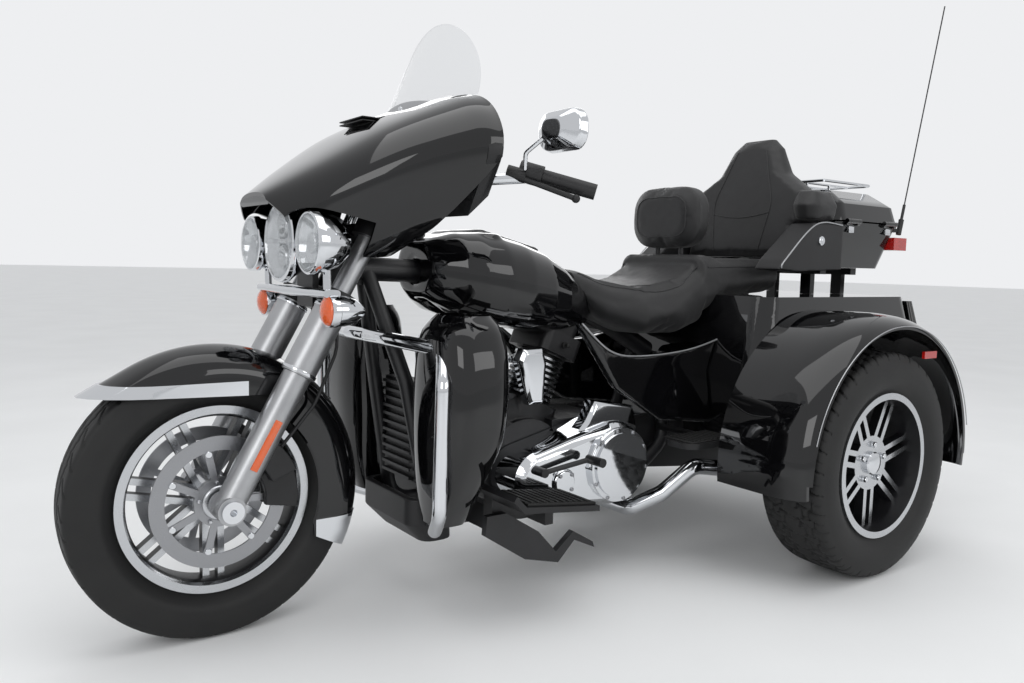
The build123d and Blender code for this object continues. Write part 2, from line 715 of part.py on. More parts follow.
def cylinders():
    """Two finned cylinders with their heads."""
    found = []
    for lean in (CYLINDER_LEAN, -CYLINDER_LEAN):
        pitch = (CYLINDER_TOP - CRANKCASE_DECK) / FIN_COUNT
        points = [(0, CRANKCASE_DECK)]
        for n in range(FIN_COUNT):
            start = CRANKCASE_DECK + n * pitch
            rise = start + 0.6 * pitch
            points += [(56, start), (56, rise), (74, rise), (74, start + pitch)]
        points += [(0, CYLINDER_TOP)]
        face = make_face(Polyline(*points, close=True))
        frame = cylinder_frame(lean)
        sketch = Plane(origin=frame.origin, x_dir=frame.x_dir, z_dir=-frame.y_dir) * face
        barrel = revolve(sketch, Axis(frame.origin, frame.z_dir), 360)
        head = Plane(origin=frame.origin + frame.z_dir * CYLINDER_TOP, x_dir=frame.x_dir, z_dir=frame.z_dir)
        barrel += extrude(head * RectangleRounded(178, 140, 24), 62)
        cover = Plane(
            origin=frame.origin + frame.z_dir * (CYLINDER_TOP + 62), x_dir=frame.x_dir, z_dir=frame.z_dir
        )
        barrel += extrude(cover * RectangleRounded(150, 112, 30), 40)
        found.append(barrel)
    return Compound(children=found)


def primary_cover():
    """Bright cover of the primary drive on the left, with its round clutch cover."""
    clutch, crank = (634.0, 318.0, 118.0), (892.0, 300.0, 78.0)
    inner, outer = 112.3, 246.0
    plane = Plane(origin=(0, outer, 0), x_dir=(1, 0, 0), z_dir=(0, -1, 0))
    outline = make_hull(
        [
            *(Pos(clutch[0], clutch[1]) * Circle(clutch[2])).edges(),
            *(Pos(crank[0], crank[1]) * Circle(crank[2])).edges(),
        ]
    )
    cover = extrude(plane * outline, outer - inner)
    cover = chamfer(cover.edges().group_by(Axis.Y)[-1], 22)
    cover += disc_y(clutch[0], clutch[1], 103, outer - 2, outer + 14)
    cover += disc_y(clutch[0], clutch[1], 90, outer + 13, outer + 20)
    peak = side_profile([(520, 380), (546, 470), (690, 492), (722, 440), (760, 400)], inner + 60, outer - 30)
    cover += chamfer(peak.edges().group_by(Axis.Y)[-1], 10)
    cover += chamfer(disc_y(826, 292, 36, outer - 2, outer + 12).edges().group_by(Axis.Y)[-1], 8)
    cover -= cradle(1, SEAT_GAP)
    return cover


def right_covers():
    """Cam cover, pushrod tubes and gearbox end cover on the right."""
    cover = disc_y(CRANK[0] - 6, CRANK[1] + 4, 92, -150, -108 - SEAT_GAP)
    cover += disc_y(640, 320, 84, -138, -104 - SEAT_GAP)
    cover += block((640, -134, 250), (820, -108.4, 370))
    cover -= disc_y(CRANK[0], CRANK[1], 140 + SEAT_GAP, -108 - SEAT_GAP, 0)
    return cover - cradle(-1, SEAT_GAP)


def air_cleaner():
    """Round air cleaner on the right between the cylinders."""
    body = disc_y(858, 566, 92, -232, -168)
    return body + disc_y(858, 566, 34, -170, -20) - cylinder_cut()


COOLER_BACK, COOLER_FRONT, COOLER_HALF = 1140.0, 1184.0, 84.0
COOLER_LOW, COOLER_HIGH, COOLER_FINS = 300.0, 560.0, 12


def horn_cover():
    """Bright horn cover that tapers downwards, on a bracket between the cylinders on the left."""
    cover = side_profile(
        [(816, 600), (822, 486), (874, 486), (912, 606), (896, 640), (830, 640)], HORN_BACK, HORN_BACK + 40
    )
    cover = chamfer(cover.edges().group_by(Axis.Y)[-1], 12)
    cover += block((838, 30, 590), (862, HORN_BACK + 1, 610))
    cover += block((770, 16, 590), (930, 44, 610))
    return max((cover - cylinder_cut()).solids(), key=lambda solid: solid.volume)


def oil_cooler():
    """Finned cooler in front of the down tubes."""
    cooler = block((COOLER_BACK, -COOLER_HALF, COOLER_LOW), (COOLER_FRONT, COOLER_HALF, COOLER_HIGH))
    pitch = (COOLER_HIGH - COOLER_LOW) / COOLER_FINS
    for n in range(COOLER_FINS):
        low = COOLER_LOW + (n + 0.3) * pitch
        cooler += block(
            (COOLER_FRONT - 1, -COOLER_HALF + 10, low),
            (COOLER_FRONT + 13, COOLER_HALF - 10, low + 0.35 * pitch),
        )
    return cooler - cradle(1, SEAT_GAP) - cradle(-1, SEAT_GAP)


def chin_spoiler():
    """Moulded air dam under the front of the cradle."""
    outer = box_sections(
        "z",
        [
            (150, 1130, 0, 90, 240, 30),
            (205, 1162, 0, 130, 288, 40),
            (272, 1176, 0, 100, 292, 40),
        ],
    )
    inner = box_sections(
        "z", [(165, 1118, 0, 84, 216, 24), (215, 1147, 0, 120, 268, 30), (290, 1156, 0, 92, 272, 30)]
    )
    shell = outer - inner
    shell -= cross_tube(CROSS_TUBES[0], 2 * SEAT_GAP)
    for side in (-1, 1):
        shell -= cradle(side, 2 * SEAT_GAP)
        shell -= guard_bar(side, SEAT_GAP)
    return max(shell.solids(), key=lambda solid: solid.volume)


LOWER_ROWS = [
    (232, 1172, 205, 86, 110, 30),
    (330, 1180, 240, 124, 180, 42),
    (470, 1168, 262, 176, 240, 50),
    (620, 1162, 262, 180, 236, 52),
    (700, 1158, 256, 164, 196, 48),
    (742, 1150, 248, 110, 130, 34),
]


def lower_fairings():
    """Glossy leg shields beside the down tubes, with a groove for the guard bar."""
    left = box_sections("z", eased(LOWER_ROWS, 2))
    left -= guard_bar(1, SEAT_GAP)
    left -= cradle(1, SEAT_GAP)
    left = max(left.solids(), key=lambda s: s.volume)
    return both_sides(left)


GUARD_RADIUS = 17.0


def guard_bar(side, grow=0.0):
    """One side of the guard bar: out from the frame, down past the leg shield and back in."""
    return bent_tube(
        [
            (1280, 0, 676),
            (1278, side * 110, 676),
            (1226, side * 286, 664),
            (1256, side * 336, 590),
            (1256, side * 330, 290),
            (1222, side * 252, 226),
            (1152, side * 120, 212),
        ],
        GUARD_RADIUS + grow,
        45,
    )


def engine_guard():
    """Bright guard bar in one piece round both sides."""
    bar = guard_bar(1) + guard_bar(-1)
    for side in (-1, 1):
        bar -= cradle(side, SEAT_GAP)
    return max(bar.solids(), key=lambda solid: solid.volume)


TANK_ROWS = [
    (1150, 0, 850, 180, 130, 60),
    (1080, 0, 838, 330, 206, 95),
    (960, 0, 820, 372, 240, 110),
    (800, 0, 790, 330, 222, 100),
    (660, 0, 752, 220, 160, 70),
    (596, 0, 735, 130, 90, 40),
]


def fuel_tank():
    """Teardrop tank astride the backbone, with its console and two caps."""
    tank = box_sections("x", eased(TANK_ROWS, 2))
    tank -= backbone(SEAT_GAP)
    tank -= block((500, -BACKBONE_TUBE - 1, 560), (1200, BACKBONE_TUBE + 1, 770))
    for side in (-1, 1):
        tank -= cradle(side, 4)
    tank -= cylinder_cut()
    console = box_sections(
        "x", [(1080, 0, 936, 60, 24, 10), (960, 0, 944, 84, 26, 10), (760, 0, 902, 56, 22, 9)]
    )
    tank += console
    for side in (-1, 1):
        tank += rod((985, side * 92, 900), (985, side * 96, 944), 34)
    return max(tank.solids(), key=lambda s: s.volume)


def seat():
    """Two-up saddle: narrow nose, rider's dish and a higher passenger seat."""
    front = box_sections(
        "x",
        [
            (668, 0, 830, 150, 60, 26),
            (580, 0, 768, 260, 110, 48),
            (470, 0, 735, 380, 128, 56),
            (330, 0, 748, 410, 160, 64),
            (236, 0, 790, 400, 180, 66),
        ],
    )
    rear = box_sections(
        "x", [(250, 0, 812, 396, 190, 56), (140, 0, 838, 400, 110, 46), (-110, 0, 848, 392, 100, 44)]
    )
    whole = front + rear
    tank = [(x, y, z + 0.5, w + 1, h + 1, r) for x, y, z, w, h, r in eased(TANK_ROWS, 2)]
    whole -= box_sections("x", tank)
    whole -= backbone(SEAT_GAP)
    whole -= body_outer(SEAT_GAP)
    for side in (-1, 1):
        whole -= cradle(side, SEAT_GAP)
        whole -= backrest_post(side, SEAT_GAP)
    return max(whole.solids(), key=lambda solid: solid.volume)


def backrest_post(side, grow=0.0):
    """One steel post between the saddle and the rider's backrest pad."""
    return rod((206, side * 52, 868 - grow), (208, side * 52, 946 + grow), 8 + grow)


def rider_backrest():
    """Pad on two posts that stand in the saddle."""
    pad = box_sections(
        "x",
        [
            (166, 0, 1024, 230, 150, 60),
            (186, 0, 1026, 300, 196, 80),
            (232, 0, 1026, 300, 196, 80),
            (256, 0, 1024, 220, 140, 56),
        ],
    )
    return pad - backrest_post(1, SEAT_GAP) - backrest_post(-1, SEAT_GAP)


def rider_backrest_posts():
    """Both posts of the rider's backrest."""
    return Compound(children=[backrest_post(1), backrest_post(-1)])


BACKREST_ROWS = [
    (900, -150, 0, 70, 480, 30),
    (980, -168, 0, 84, 520, 36),
    (1060, -186, 0, 92, 560, 40),
    (1130, -200, 0, 94, 500, 42),
    (1200, -212, 0, 86, 300, 38),
    (1290, -226, 0, 70, 210, 32),
    (1326, -230, 0, 40, 130, 18),
]


def passenger_backrest():
    """Wrap-round backrest in front of the luggage box."""
    pad = box_sections("z", BACKREST_ROWS)
    for side in (-1, 1):
        arm = box_sections(
            "z",
            [
                (1030, -190, side * 270, 150, 84, 36),
                (1080, -196, side * 272, 190, 100, 46),
                (1128, -200, side * 262, 130, 70, 30),
            ],
        )
        pad += arm
    pad -= block((-400, -400, 860), (BOX_FRONT + LID_GAP + 1.5, 400, 1400))
    for side in (-1, 1):
        low, high = sorted((side * (POD_IN - SEAT_GAP), side * (POD_OUT + 30)))
        pad -= side_profile(POD_SIDE, low, high)
    return max(pad.solids(), key=lambda solid: solid.volume)


POD_IN, POD_OUT = 226.0, 322.0
POD_SIDE = [(64, 868), (40, 900), (-110, 1018), (-262, 1022), (-262, 872), (-30, 862)]


BOX_LOW, BOX_SPLIT, BOX_TOP = 880.0, 1032.0, 1140.0
BOX_BACK, BOX_FRONT, BOX_HALF = -660.0, -244.0, 296.0
BOX_WALL = 5.0
LID_GAP = 5.0


HINGE_Y, HINGE_Z = BOX_HALF + 9.0, BOX_SPLIT + LID_GAP / 2
HINGE_PIN, HINGE_BARREL = 4.0, 8.0
HINGE_AT = (-560.0, -340.0)
BOX_MID_X, BOX_DEPTH = (BOX_BACK + BOX_FRONT) / 2, BOX_FRONT - BOX_BACK


def box_outer(grow=0.0):
    """Outside of the luggage box's lower half."""
    g = 2 * grow
    return box_sections(
        "z",
        [
            (BOX_LOW - grow, BOX_MID_X + 14, 0, BOX_DEPTH - 70 + g, 2 * BOX_HALF - 90 + g, 50),
            (BOX_SPLIT, BOX_MID_X, 0, BOX_DEPTH + g, 2 * BOX_HALF + g, 70),
        ],
    )


def hinge_barrel(x_low, x_high, radius):
    """Round stretch on the lid's hinge line."""
    return Pos((x_low + x_high) / 2, HINGE_Y, HINGE_Z) * Rot(0, 90, 0) * Cylinder(radius, x_high - x_low)


def tour_box():
    """Lower half of the luggage box, open at the top, with its hinge pins on the left."""
    w = 2 * BOX_WALL
    inner = box_sections(
        "z",
        [
            (BOX_LOW + BOX_WALL, BOX_MID_X + 14, 0, BOX_DEPTH - 70 - w, 2 * BOX_HALF - 90 - w, 45),
            (BOX_SPLIT + 1, BOX_MID_X, 0, BOX_DEPTH - w, 2 * BOX_HALF - w, 65),
        ],
    )
    box = box_outer() - inner
    for x in HINGE_AT:
        box += hinge_barrel(x - 38, x + 38, HINGE_PIN)
        for end in (x - 38, x + 24):
            box += hinge_barrel(end, end + 14, HINGE_BARREL)
            box += block((end, BOX_HALF - 4, HINGE_Z - 14), (end + 14, HINGE_Y, HINGE_Z - 4))
    return box


def tour_box_lid():
    """Domed lid that swings to the left on two hinges."""
    low = BOX_SPLIT + LID_GAP
    outer = box_sections(
        "z",
        [
            (low, BOX_MID_X, 0, BOX_DEPTH, 2 * BOX_HALF, 70),
            (low + 56, BOX_MID_X + 4, 0, BOX_DEPTH - 20, 2 * BOX_HALF - 26, 66),
            (BOX_TOP, BOX_MID_X + 20, 0, BOX_DEPTH - 120, 2 * BOX_HALF - 150, 40),
        ],
    )
    w = 2 * BOX_WALL
    inner = box_sections(
        "z",
        [
            (low - 1, BOX_MID_X, 0, BOX_DEPTH - w, 2 * BOX_HALF - w, 65),
            (low + 54, BOX_MID_X + 4, 0, BOX_DEPTH - 20 - w, 2 * BOX_HALF - 26 - w, 60),
            (BOX_TOP - BOX_WALL, BOX_MID_X + 20, 0, BOX_DEPTH - 124 - w, 2 * BOX_HALF - 154 - w, 34),
        ],
    )
    lid = outer - inner
    for x in HINGE_AT:
        lid += hinge_barrel(x - 23, x + 23, HINGE_BARREL)
        lid += block((x - 23, BOX_HALF - 5, HINGE_Z + 3.5), (x + 23, HINGE_Y, HINGE_Z + 8))
        lid -= hinge_barrel(x - 24, x + 24, HINGE_PIN + SHAFT_GAP)
    return lid


def box_mount():
    """Two cross rails and posts that carry the luggage box above the rear body."""
    rails = []
    for x in (-520.0, -340.0):
        rail = block((x - 16, -200, BOX_LOW - 24), (x + 16, 200, BOX_LOW - SEAT_GAP))
        for side in (-1, 1):
            low, high = sorted((side * 120, side * 160))
            rail += block((x - 12, low, BODY_TOP + SEAT_GAP), (x + 12, high, BOX_LOW - 20))
        rails.append(rail)
    return Compound(children=rails)


RACK_RADIUS = 5.0
RACK_Z = 1176.0


def luggage_rack():
    """Bright rails on four feet above the lid."""
    rail = bent_tube(
        [(-330, -190, RACK_Z), (-620, -190, RACK_Z), (-620, 190, RACK_Z), (-330, 190, RACK_Z)],
        RACK_RADIUS,
        30,
    )
    rail += rod((-330, -190, RACK_Z), (-330, 190, RACK_Z), RACK_RADIUS)
    for y in (-95, 0, 95):
        rail += rod((-330, y, RACK_Z), (-620, y, RACK_Z), RACK_RADIUS - 1)
    for x in (-370, -500):
        for y in (-95, 95):
            rail += rod((x, y, BOX_TOP + SEAT_GAP), (x, y, RACK_Z), 5)
    return rail


def armrests():
    """Speaker pods beside the passenger, bolted to the luggage box."""
    pod = side_profile(POD_SIDE, POD_IN, POD_OUT) - box_outer(SEAT_GAP)
    pod = max(pod.solids(), key=lambda solid: solid.volume)
    return both_sides(pod)


def antenna():
    """Whip antenna on a sprung foot at the box's left rear corner."""
    base, tip = Vector(*ANTENNA_BASE), Vector(*ANTENNA_TIP)
    along = (tip - base).normalized()
    whip = rod(base, base + along * 60, 5) + rod(base + along * 55, tip, 2.2)
    foot = rod(base - along * 50, base + along * 5, 9)
    foot += block((base.X - 6, base.Y - 60, base.Z - 40), (base.X + 60, base.Y, base.Z - 28))
    return whip + foot - box_outer(SEAT_GAP)


def side_covers():
    """Panels under the saddle that run back and down to the luggage body."""
    panel = side_profile(
        [(784, 718), (665, 632), (550, 613), (347, 625), (134, 678), (205, 392), (461, 424), (636, 530)],
        206.5,
        236,
    )
    panel -= body_outer(SEAT_GAP)
    return both_sides(max(panel.solids(), key=lambda solid: solid.volume))


BODY_HALF, BODY_FRONT = 428.0, 268.0
BODY_LOW, BODY_TOP, BODY_WALL = 350.0, 786.0, 6.0
DOOR_X = -610.0


DOOR_HINGE_X, DOOR_HINGE_Z = DOOR_X + 3.0, BODY_LOW + 12.0
DOOR_PIN, DOOR_BARREL = 5.0, 10.0
DOOR_HINGES = (-200.0, 200.0)
TRUNK_FLOOR, TRUNK_FRONT = BODY_LOW + 40.0, -150.0
MOUTH_HALF = BODY_HALF - 68.0
WELL_RADIUS, WELL_Y = REAR_RADIUS + 26.0, 380.0


def body_outer(grow=0.0):
    """Outside of the luggage body between the rear wheels."""
    g = 2 * grow
    mid, long = (BODY_FRONT + DOOR_X) / 2, BODY_FRONT - DOOR_X
    return box_sections(
        "z",
        [
            (BODY_LOW - grow, mid - 10, 0, long - 60 + g, 2 * BODY_HALF - 40 + g, 60),
            (560, mid, 0, long + g, 2 * BODY_HALF + g, 70),
            (BODY_TOP + grow, mid - 30, 0, long - 110 + g, 2 * BODY_HALF - 110 + g, 60),
        ],
    )


def wheel_wells(grow=0.0):
    """Room beside the body for both rear wheels."""
    wells = []
    for side in (-1, 1):
        low, high = sorted((side * (BODY_HALF + 40), side * (WELL_Y - grow)))
        wells.append(disc_y(0, REAR_RADIUS, WELL_RADIUS + grow, low, high))
    return wells[0] + wells[1]


def rear_body():
    """Luggage body: a hollow trunk behind a bulkhead, and an open-bottomed cover ahead of it."""
    body = body_outer() - wheel_wells()
    hollow = body_outer(-BODY_WALL) - wheel_wells(BODY_WALL)
    body -= hollow & block((TRUNK_FRONT + BODY_WALL, -500, 100), (500, 500, 900))
    body -= block((TRUNK_FRONT + BODY_WALL, -350, 300), (150, 350, BODY_LOW + 20))
    body -= hollow & block((DOOR_X - 100, -500, TRUNK_FLOOR), (TRUNK_FRONT, 500, 900))
    body -= block((DOOR_X - 120, -500, 300), (DOOR_X + 8, 500, 800))
    body -= block((DOOR_X - 120, -MOUTH_HALF, TRUNK_FLOOR), (DOOR_X + 70, MOUTH_HALF, BODY_TOP - 26))
    for y in DOOR_HINGES:
        body += Pos(DOOR_HINGE_X, y, DOOR_HINGE_Z) * Rot(90, 0, 0) * Cylinder(DOOR_PIN, 68)
        for end in (y - 34, y + 24):
            body += block((DOOR_HINGE_X - 9, end, BODY_LOW), (DOOR_X + 60, end + 10, BODY_LOW + 22))
    body -= rear_axle_room()
    return max(body.solids(), key=lambda solid: solid.volume)


def rear_axle_room():
    """Room for the axle, the differential and the belt under the body."""
    room = disc_y(0, REAR_RADIUS, 46, -500, 500)
    room += disc_y(0, REAR_RADIUS, 124, -90, 110)
    return room + block((0, 50, 200), (400, 116, 460))


REAR_FENDER_R, ARCH_R = 428.0, 334.0
FENDER_OUT, FENDER_IN = 705.0, 400.0
FENDER_OFFSET_X = -30.0
REAR_FENDER_FRONT, REAR_FENDER_BACK = -7.0, 187.0
REAR_FENDER_SKIRT = 240.0
REAR_FENDER_SECTION = [(215.0, 0.0), (120.0, 2.0), (58.0, 14.0), (20.0, 42.0), (0.0, 92.0)]


def rear_fenders():
    """Wide fenders: crowned skin round each rear wheel with an open arch in its outer skirt."""
    r, wall = REAR_FENDER_R, 6.0
    outline = make_face(
        [
            Polyline(
                (FENDER_IN, r - 6),
                *[(FENDER_OUT - inset, r - drop) for inset, drop in REAR_FENDER_SECTION],
                (FENDER_OUT, REAR_FENDER_SKIRT),
                (FENDER_OUT - wall, REAR_FENDER_SKIRT),
                *[
                    (FENDER_OUT - wall - inset, r - wall - drop)
                    for inset, drop in reversed(REAR_FENDER_SECTION)
                ],
                (FENDER_IN, r - 6 - wall),
                close=True,
            )
        ]
    )
    plane = Plane(origin=(0, 0, 0), x_dir=(0, 1, 0), z_dir=(1, 0, 0))
    skin = revolve(plane * outline, Axis.Y, REAR_FENDER_FRONT - REAR_FENDER_BACK)
    skin = Pos(FENDER_OFFSET_X, 0, REAR_RADIUS) * Rot(0, 90 - REAR_FENDER_FRONT, 0) * skin
    arch = Pos(-48, 0, REAR_RADIUS - 10) * Rot(90, 0, 0) * Cylinder(ARCH_R - 20, 40)
    arch = Pos(0, FENDER_OUT - 10, 0) * arch
    arch += block((-340, FENDER_OUT - 30, 100), (250, FENDER_OUT + 10, REAR_RADIUS))
    return both_sides(skin - arch - body_outer(SEAT_GAP))


def trunk_door():
    """Rear door of the trunk, hinged along its lower edge, with a blank plate bracket."""
    door = box_sections(
        "z",
        [
            (BODY_LOW + 28, DOOR_X - 14, 0, 34, 2 * BODY_HALF - 60, 14),
            (560, DOOR_X - 20, 0, 46, 2 * BODY_HALF - 14, 18),
            (BODY_TOP - 16, DOOR_X - 12, 0, 30, 2 * BODY_HALF - 130, 12),
        ],
    )
    for y in DOOR_HINGES:
        door += Pos(DOOR_HINGE_X, y, DOOR_HINGE_Z) * Rot(90, 0, 0) * Cylinder(DOOR_BARREL, 44)
        door += block((DOOR_X - 12, y - 22, DOOR_HINGE_Z), (DOOR_X - 3, y + 22, BODY_LOW + 40))
        door -= Pos(DOOR_HINGE_X, y, DOOR_HINGE_Z) * Rot(90, 0, 0) * Cylinder(DOOR_PIN + SHAFT_GAP, 60)
    return door


PLATE_Z, PLATE_HOLE = 566.0, 3.2
PLATE_SPACING = (146.0, 70.0)


def plate_bracket():
    """Number-plate bracket on the door: a plate on two bosses with four bolt holes."""
    back = DOOR_X - 43 - SEAT_GAP
    plate = block((back - 16, -92, PLATE_Z - 56), (back - 12, 92, PLATE_Z + 56))
    for side in (-1, 1):
        low, high = sorted((side * 20, side * 50))
        plate += block((back - 13, low, PLATE_Z - 10), (back, high, PLATE_Z + 4))
    for y in (-PLATE_SPACING[0] / 2, PLATE_SPACING[0] / 2):
        for z in (-PLATE_SPACING[1] / 2, PLATE_SPACING[1] / 2):
            plate -= rod((back - 20, y, PLATE_Z + z), (back - 8, y, PLATE_Z + z), PLATE_HOLE)
    return plate


AXLE_TUBE = 38.0


def rear_axle():
    """Axle tubes, differential and the stub shafts that carry the wheels."""
    axle = disc_y(0, REAR_RADIUS, AXLE_TUBE, -500, 500)
    axle += disc_y(0, REAR_RADIUS, 104, -70, 60)
    axle += disc_y(0, REAR_RADIUS, STUB_RADIUS, -HALF_TRACK - 40, HALF_TRACK + 40)
    return axle


PULLEY_FRONT, PULLEY_REAR = (600.0, 330.0, 60.0), (0.0, REAR_RADIUS, 118.0)


def drive_belt():
    """Toothed belt from the gearbox to the axle, with the pulleys inside it."""
    plane = Plane(origin=(0, 96, 0), x_dir=(1, 0, 0), z_dir=(0, -1, 0))
    outline = make_hull(
        [
            *(Pos(PULLEY_FRONT[0], PULLEY_FRONT[1]) * Circle(PULLEY_FRONT[2])).edges(),
            *(Pos(PULLEY_REAR[0], PULLEY_REAR[1]) * Circle(PULLEY_REAR[2])).edges(),
        ]
    )
    belt = extrude(plane * outline, 26) - disc_y(0, REAR_RADIUS, AXLE_TUBE + SEAT_GAP, 60, 110)
    belt -= disc_y(640, 320, 112 + SEAT_GAP, 60, 110)
    belt -= block((550, 60, 214 - SEAT_GAP), (800, 110, 430 + SEAT_GAP))
    belt -= cradle(1, SEAT_GAP)
    return max(belt.solids(), key=lambda solid: solid.volume)


PIPE_RADIUS, MUFFLER_Y, MUFFLER_Z = 24.0, 262.0, 254.0
MUFFLER_FRONT, MUFFLER_BACK, MUFFLER_RADIUS = -50.0, -636.0, 46.0


HEADER_RADIUS, HEADER_Y = 21.0, -174.0


def exhausts():
    """Head pipes on the right into a crossover below the cradle, and a pipe and muffler each side."""
    whole = bent_tube(
        [
            (1030, -92, 662),
            (1026, HEADER_Y, 640),
            (990, HEADER_Y, 240),
            (930, HEADER_Y, 172),
            (500, HEADER_Y, 150),
        ],
        HEADER_RADIUS,
        50,
    )
    whole += bent_tube(
        [(672, -92, 662), (640, HEADER_Y, 630), (570, HEADER_Y, 420), (570, HEADER_Y, 160)],
        HEADER_RADIUS,
        60,
    )
    whole -= cylinder_cut()
    for side in (-1, 1):
        pipe = bent_tube(
            [
                (490, 0, 146),
                (490, side * 150, 146),
                (420, side * 214, 196),
                (340, side * MUFFLER_Y, 280),
                (200, side * MUFFLER_Y, MUFFLER_Z),
                (MUFFLER_FRONT - 10, side * MUFFLER_Y, MUFFLER_Z),
            ],
            PIPE_RADIUS,
            45,
        )
        pipe += turned_x(
            [
                (MUFFLER_FRONT, 0),
                (MUFFLER_FRONT, PIPE_RADIUS + 4),
                (MUFFLER_FRONT - 60, MUFFLER_RADIUS),
                (MUFFLER_BACK + 76, MUFFLER_RADIUS),
                (MUFFLER_BACK, MUFFLER_RADIUS - 6),
                (MUFFLER_BACK, MUFFLER_RADIUS - 12),
                (MUFFLER_BACK + 60, MUFFLER_RADIUS - 12),
                (MUFFLER_BACK + 60, 0),
            ],
            side * MUFFLER_Y,
            MUFFLER_Z,
        )
        low, high = sorted((side * 108, side * 134))
        pipe += block((478, low, 156), (502, high, 196))
        hanger_y = side * MUFFLER_Y
        pipe += block(
            (-330, hanger_y - 14, MUFFLER_Z + 40), (-290, hanger_y + 14, BODY_LOW - SEAT_GAP)
        )
        whole += pipe
    for side in (-1, 1):
        whole -= cradle(side, SEAT_GAP)
    return max(whole.solids(), key=lambda solid: solid.volume)


FOOTBOARD_IN, FOOTBOARD_OUT = 262.0, 420.0


def rider_footboards():
    """Boards for the rider's feet, each on two arms from the cradle."""
    boards = []
    for side in (-1, 1):
        low, high = sorted((side * FOOTBOARD_IN, side * FOOTBOARD_OUT))
        board = side_profile(
            [(1112, 322), (1080, 290), (850, 262), (850, 276), (1074, 304), (1104, 334)], low, high
        )
        low, high = sorted((side * 100, side * 300))
        for x in (900.0, 1050.0):
            board += block((x, low, 205), (x + 26, high, 268))
        low, high = sorted((side * FOOTBOARD_IN, side * (FOOTBOARD_IN + 38)))
        board += side_profile([(890, 262), (890, 240), (1090, 240), (1090, 300)], low, high)
        board -= cradle(side, SEAT_GAP)
        board -= engine_cases() + primary_cover() + right_covers()
        boards.append(max(board.solids(), key=lambda solid: solid.volume))
    return Compound(children=boards)


def passenger_footboards():
    """Smaller boards behind for the passenger."""
    board = box_sections("z", [(366, 400, 330, 190, 116, 40), (384, 400, 330, 200, 124, 44)])
    board += rod((340, 110, 374), (340, 290, 374), 10)
    board -= cradle(1, SEAT_GAP)
    return both_sides(max(board.solids(), key=lambda solid: solid.volume))


def foot_controls():
    """Shift lever and parking brake pedal on the left, brake pedal on the right."""
    parking = side_profile(
        [
            (1116, 262),
            (1120, 214),
            (1068, 180),
            (1000, 136),
            (894, 108),
            (842, 158),
            (772, 126),
            (778, 142),
            (846, 182),
            (902, 138),
            (960, 200),
            (1060, 262),
        ],
        FOOTBOARD_IN + 38.3,
        FOOTBOARD_IN + 56,
    )
    shift = rod((905, 262, 330), (760, 276, 352), 7) + rod((762, 270, 352), (762, 330, 352), 12)
    shift += disc_y(905, 330, 12, 246 + SEAT_GAP, 270)
    brake = rod((990, -253.7, 262), (1060, -253.7, 360), 6.5) + block((1042, -330, 352), (1078, -240, 368))
    brake += disc_y(990, 262, 12, -FOOTBOARD_IN + SEAT_GAP, -245)
    return Compound(children=[parking, shift, brake])


SIDE_LAMP_ANGLE, SIDE_LAMP_REACH = 105.0, 326.0


def rear_lamps():
    """Lamps round the luggage box's rear corners, and a side lamp on each rear fender."""
    found = []
    a = math.radians(SIDE_LAMP_ANGLE)
    x = FENDER_OFFSET_X + SIDE_LAMP_REACH * math.cos(a)
    z = REAR_RADIUS + SIDE_LAMP_REACH * math.sin(a)
    for side in (-1, 1):
        low, high = sorted((side * 226, side * 300))
        lens = block((BOX_BACK - 20, low, 946), (BOX_BACK + 60, high, 990)) - box_outer(SEAT_GAP)
        found.append(max(lens.solids(), key=lambda solid: solid.volume))
        low, high = sorted((side * (FENDER_OUT + SEAT_GAP), side * (FENDER_OUT + 8)))
        found.append(block((x - 32, low, z - 10), (x + 32, high, z + 10)))
    return Compound(children=found)


NODES = {
    "front_tyre": lambda: tyre(
        WHEELBASE, 0, FRONT_RADIUS, FRONT_TYRE_WIDTH, FRONT_RIM_RADIUS, FRONT_RIM_WIDTH
    ),
    "front_rim": lambda: rim(WHEELBASE, 0, FRONT_RADIUS, FRONT_RIM_RADIUS, FRONT_RIM_WIDTH, 0, FRONT_HUB, 1),
    "front_discs": front_discs,
    "fork_legs": fork_legs,
    "fork_covers": fork_covers,
    "fork_clamps": fork_clamps,
    "front_axle": front_axle,
    "front_calipers": front_calipers,
    "front_fender": front_fender,
    "fender_trim": fender_trim,
    "fairing": fairing,
    "inner_fairing": inner_fairing,
    "windshield": windshield,
    "headlamp": headlamp,
    "front_lamps": front_lamps,
    "handlebar": handlebar,
    "hand_controls": hand_controls,
    "mirrors": mirrors,
    "frame_tubes": frame_tubes,
    "engine_cases": engine_cases,
    "cylinders": cylinders,
    "primary_cover": primary_cover,
    "right_covers": right_covers,
    "air_cleaner": air_cleaner,
    "horn_cover": horn_cover,
    "oil_cooler": oil_cooler,
    "chin_spoiler": chin_spoiler,
    "lower_fairings": lower_fairings,
    "engine_guard": engine_guard,
    "fuel_tank": fuel_tank,
    "seat": seat,
    "rider_backrest": rider_backrest,
    "rider_backrest_posts": rider_backrest_posts,
    "passenger_backrest": passenger_backrest,
    "tour_box": tour_box,
    "tour_box_lid": tour_box_lid,
    "luggage_rack": luggage_rack,
    "armrests": armrests,
    "antenna": antenna,
    "side_covers": side_covers,
    "rear_body": rear_body,
    "rear_fenders": rear_fenders,
    "trunk_door": trunk_door,
    "plate_bracket": plate_bracket,
    "box_mount": box_mount,
    "rear_axle": rear_axle,
    "drive_belt": drive_belt,
    "exhausts": exhausts,
    "rider_footboards": rider_footboards,
    "passenger_footboards": passenger_footboards,
    "foot_controls": foot_controls,
    "rear_lamps": rear_lamps,
}
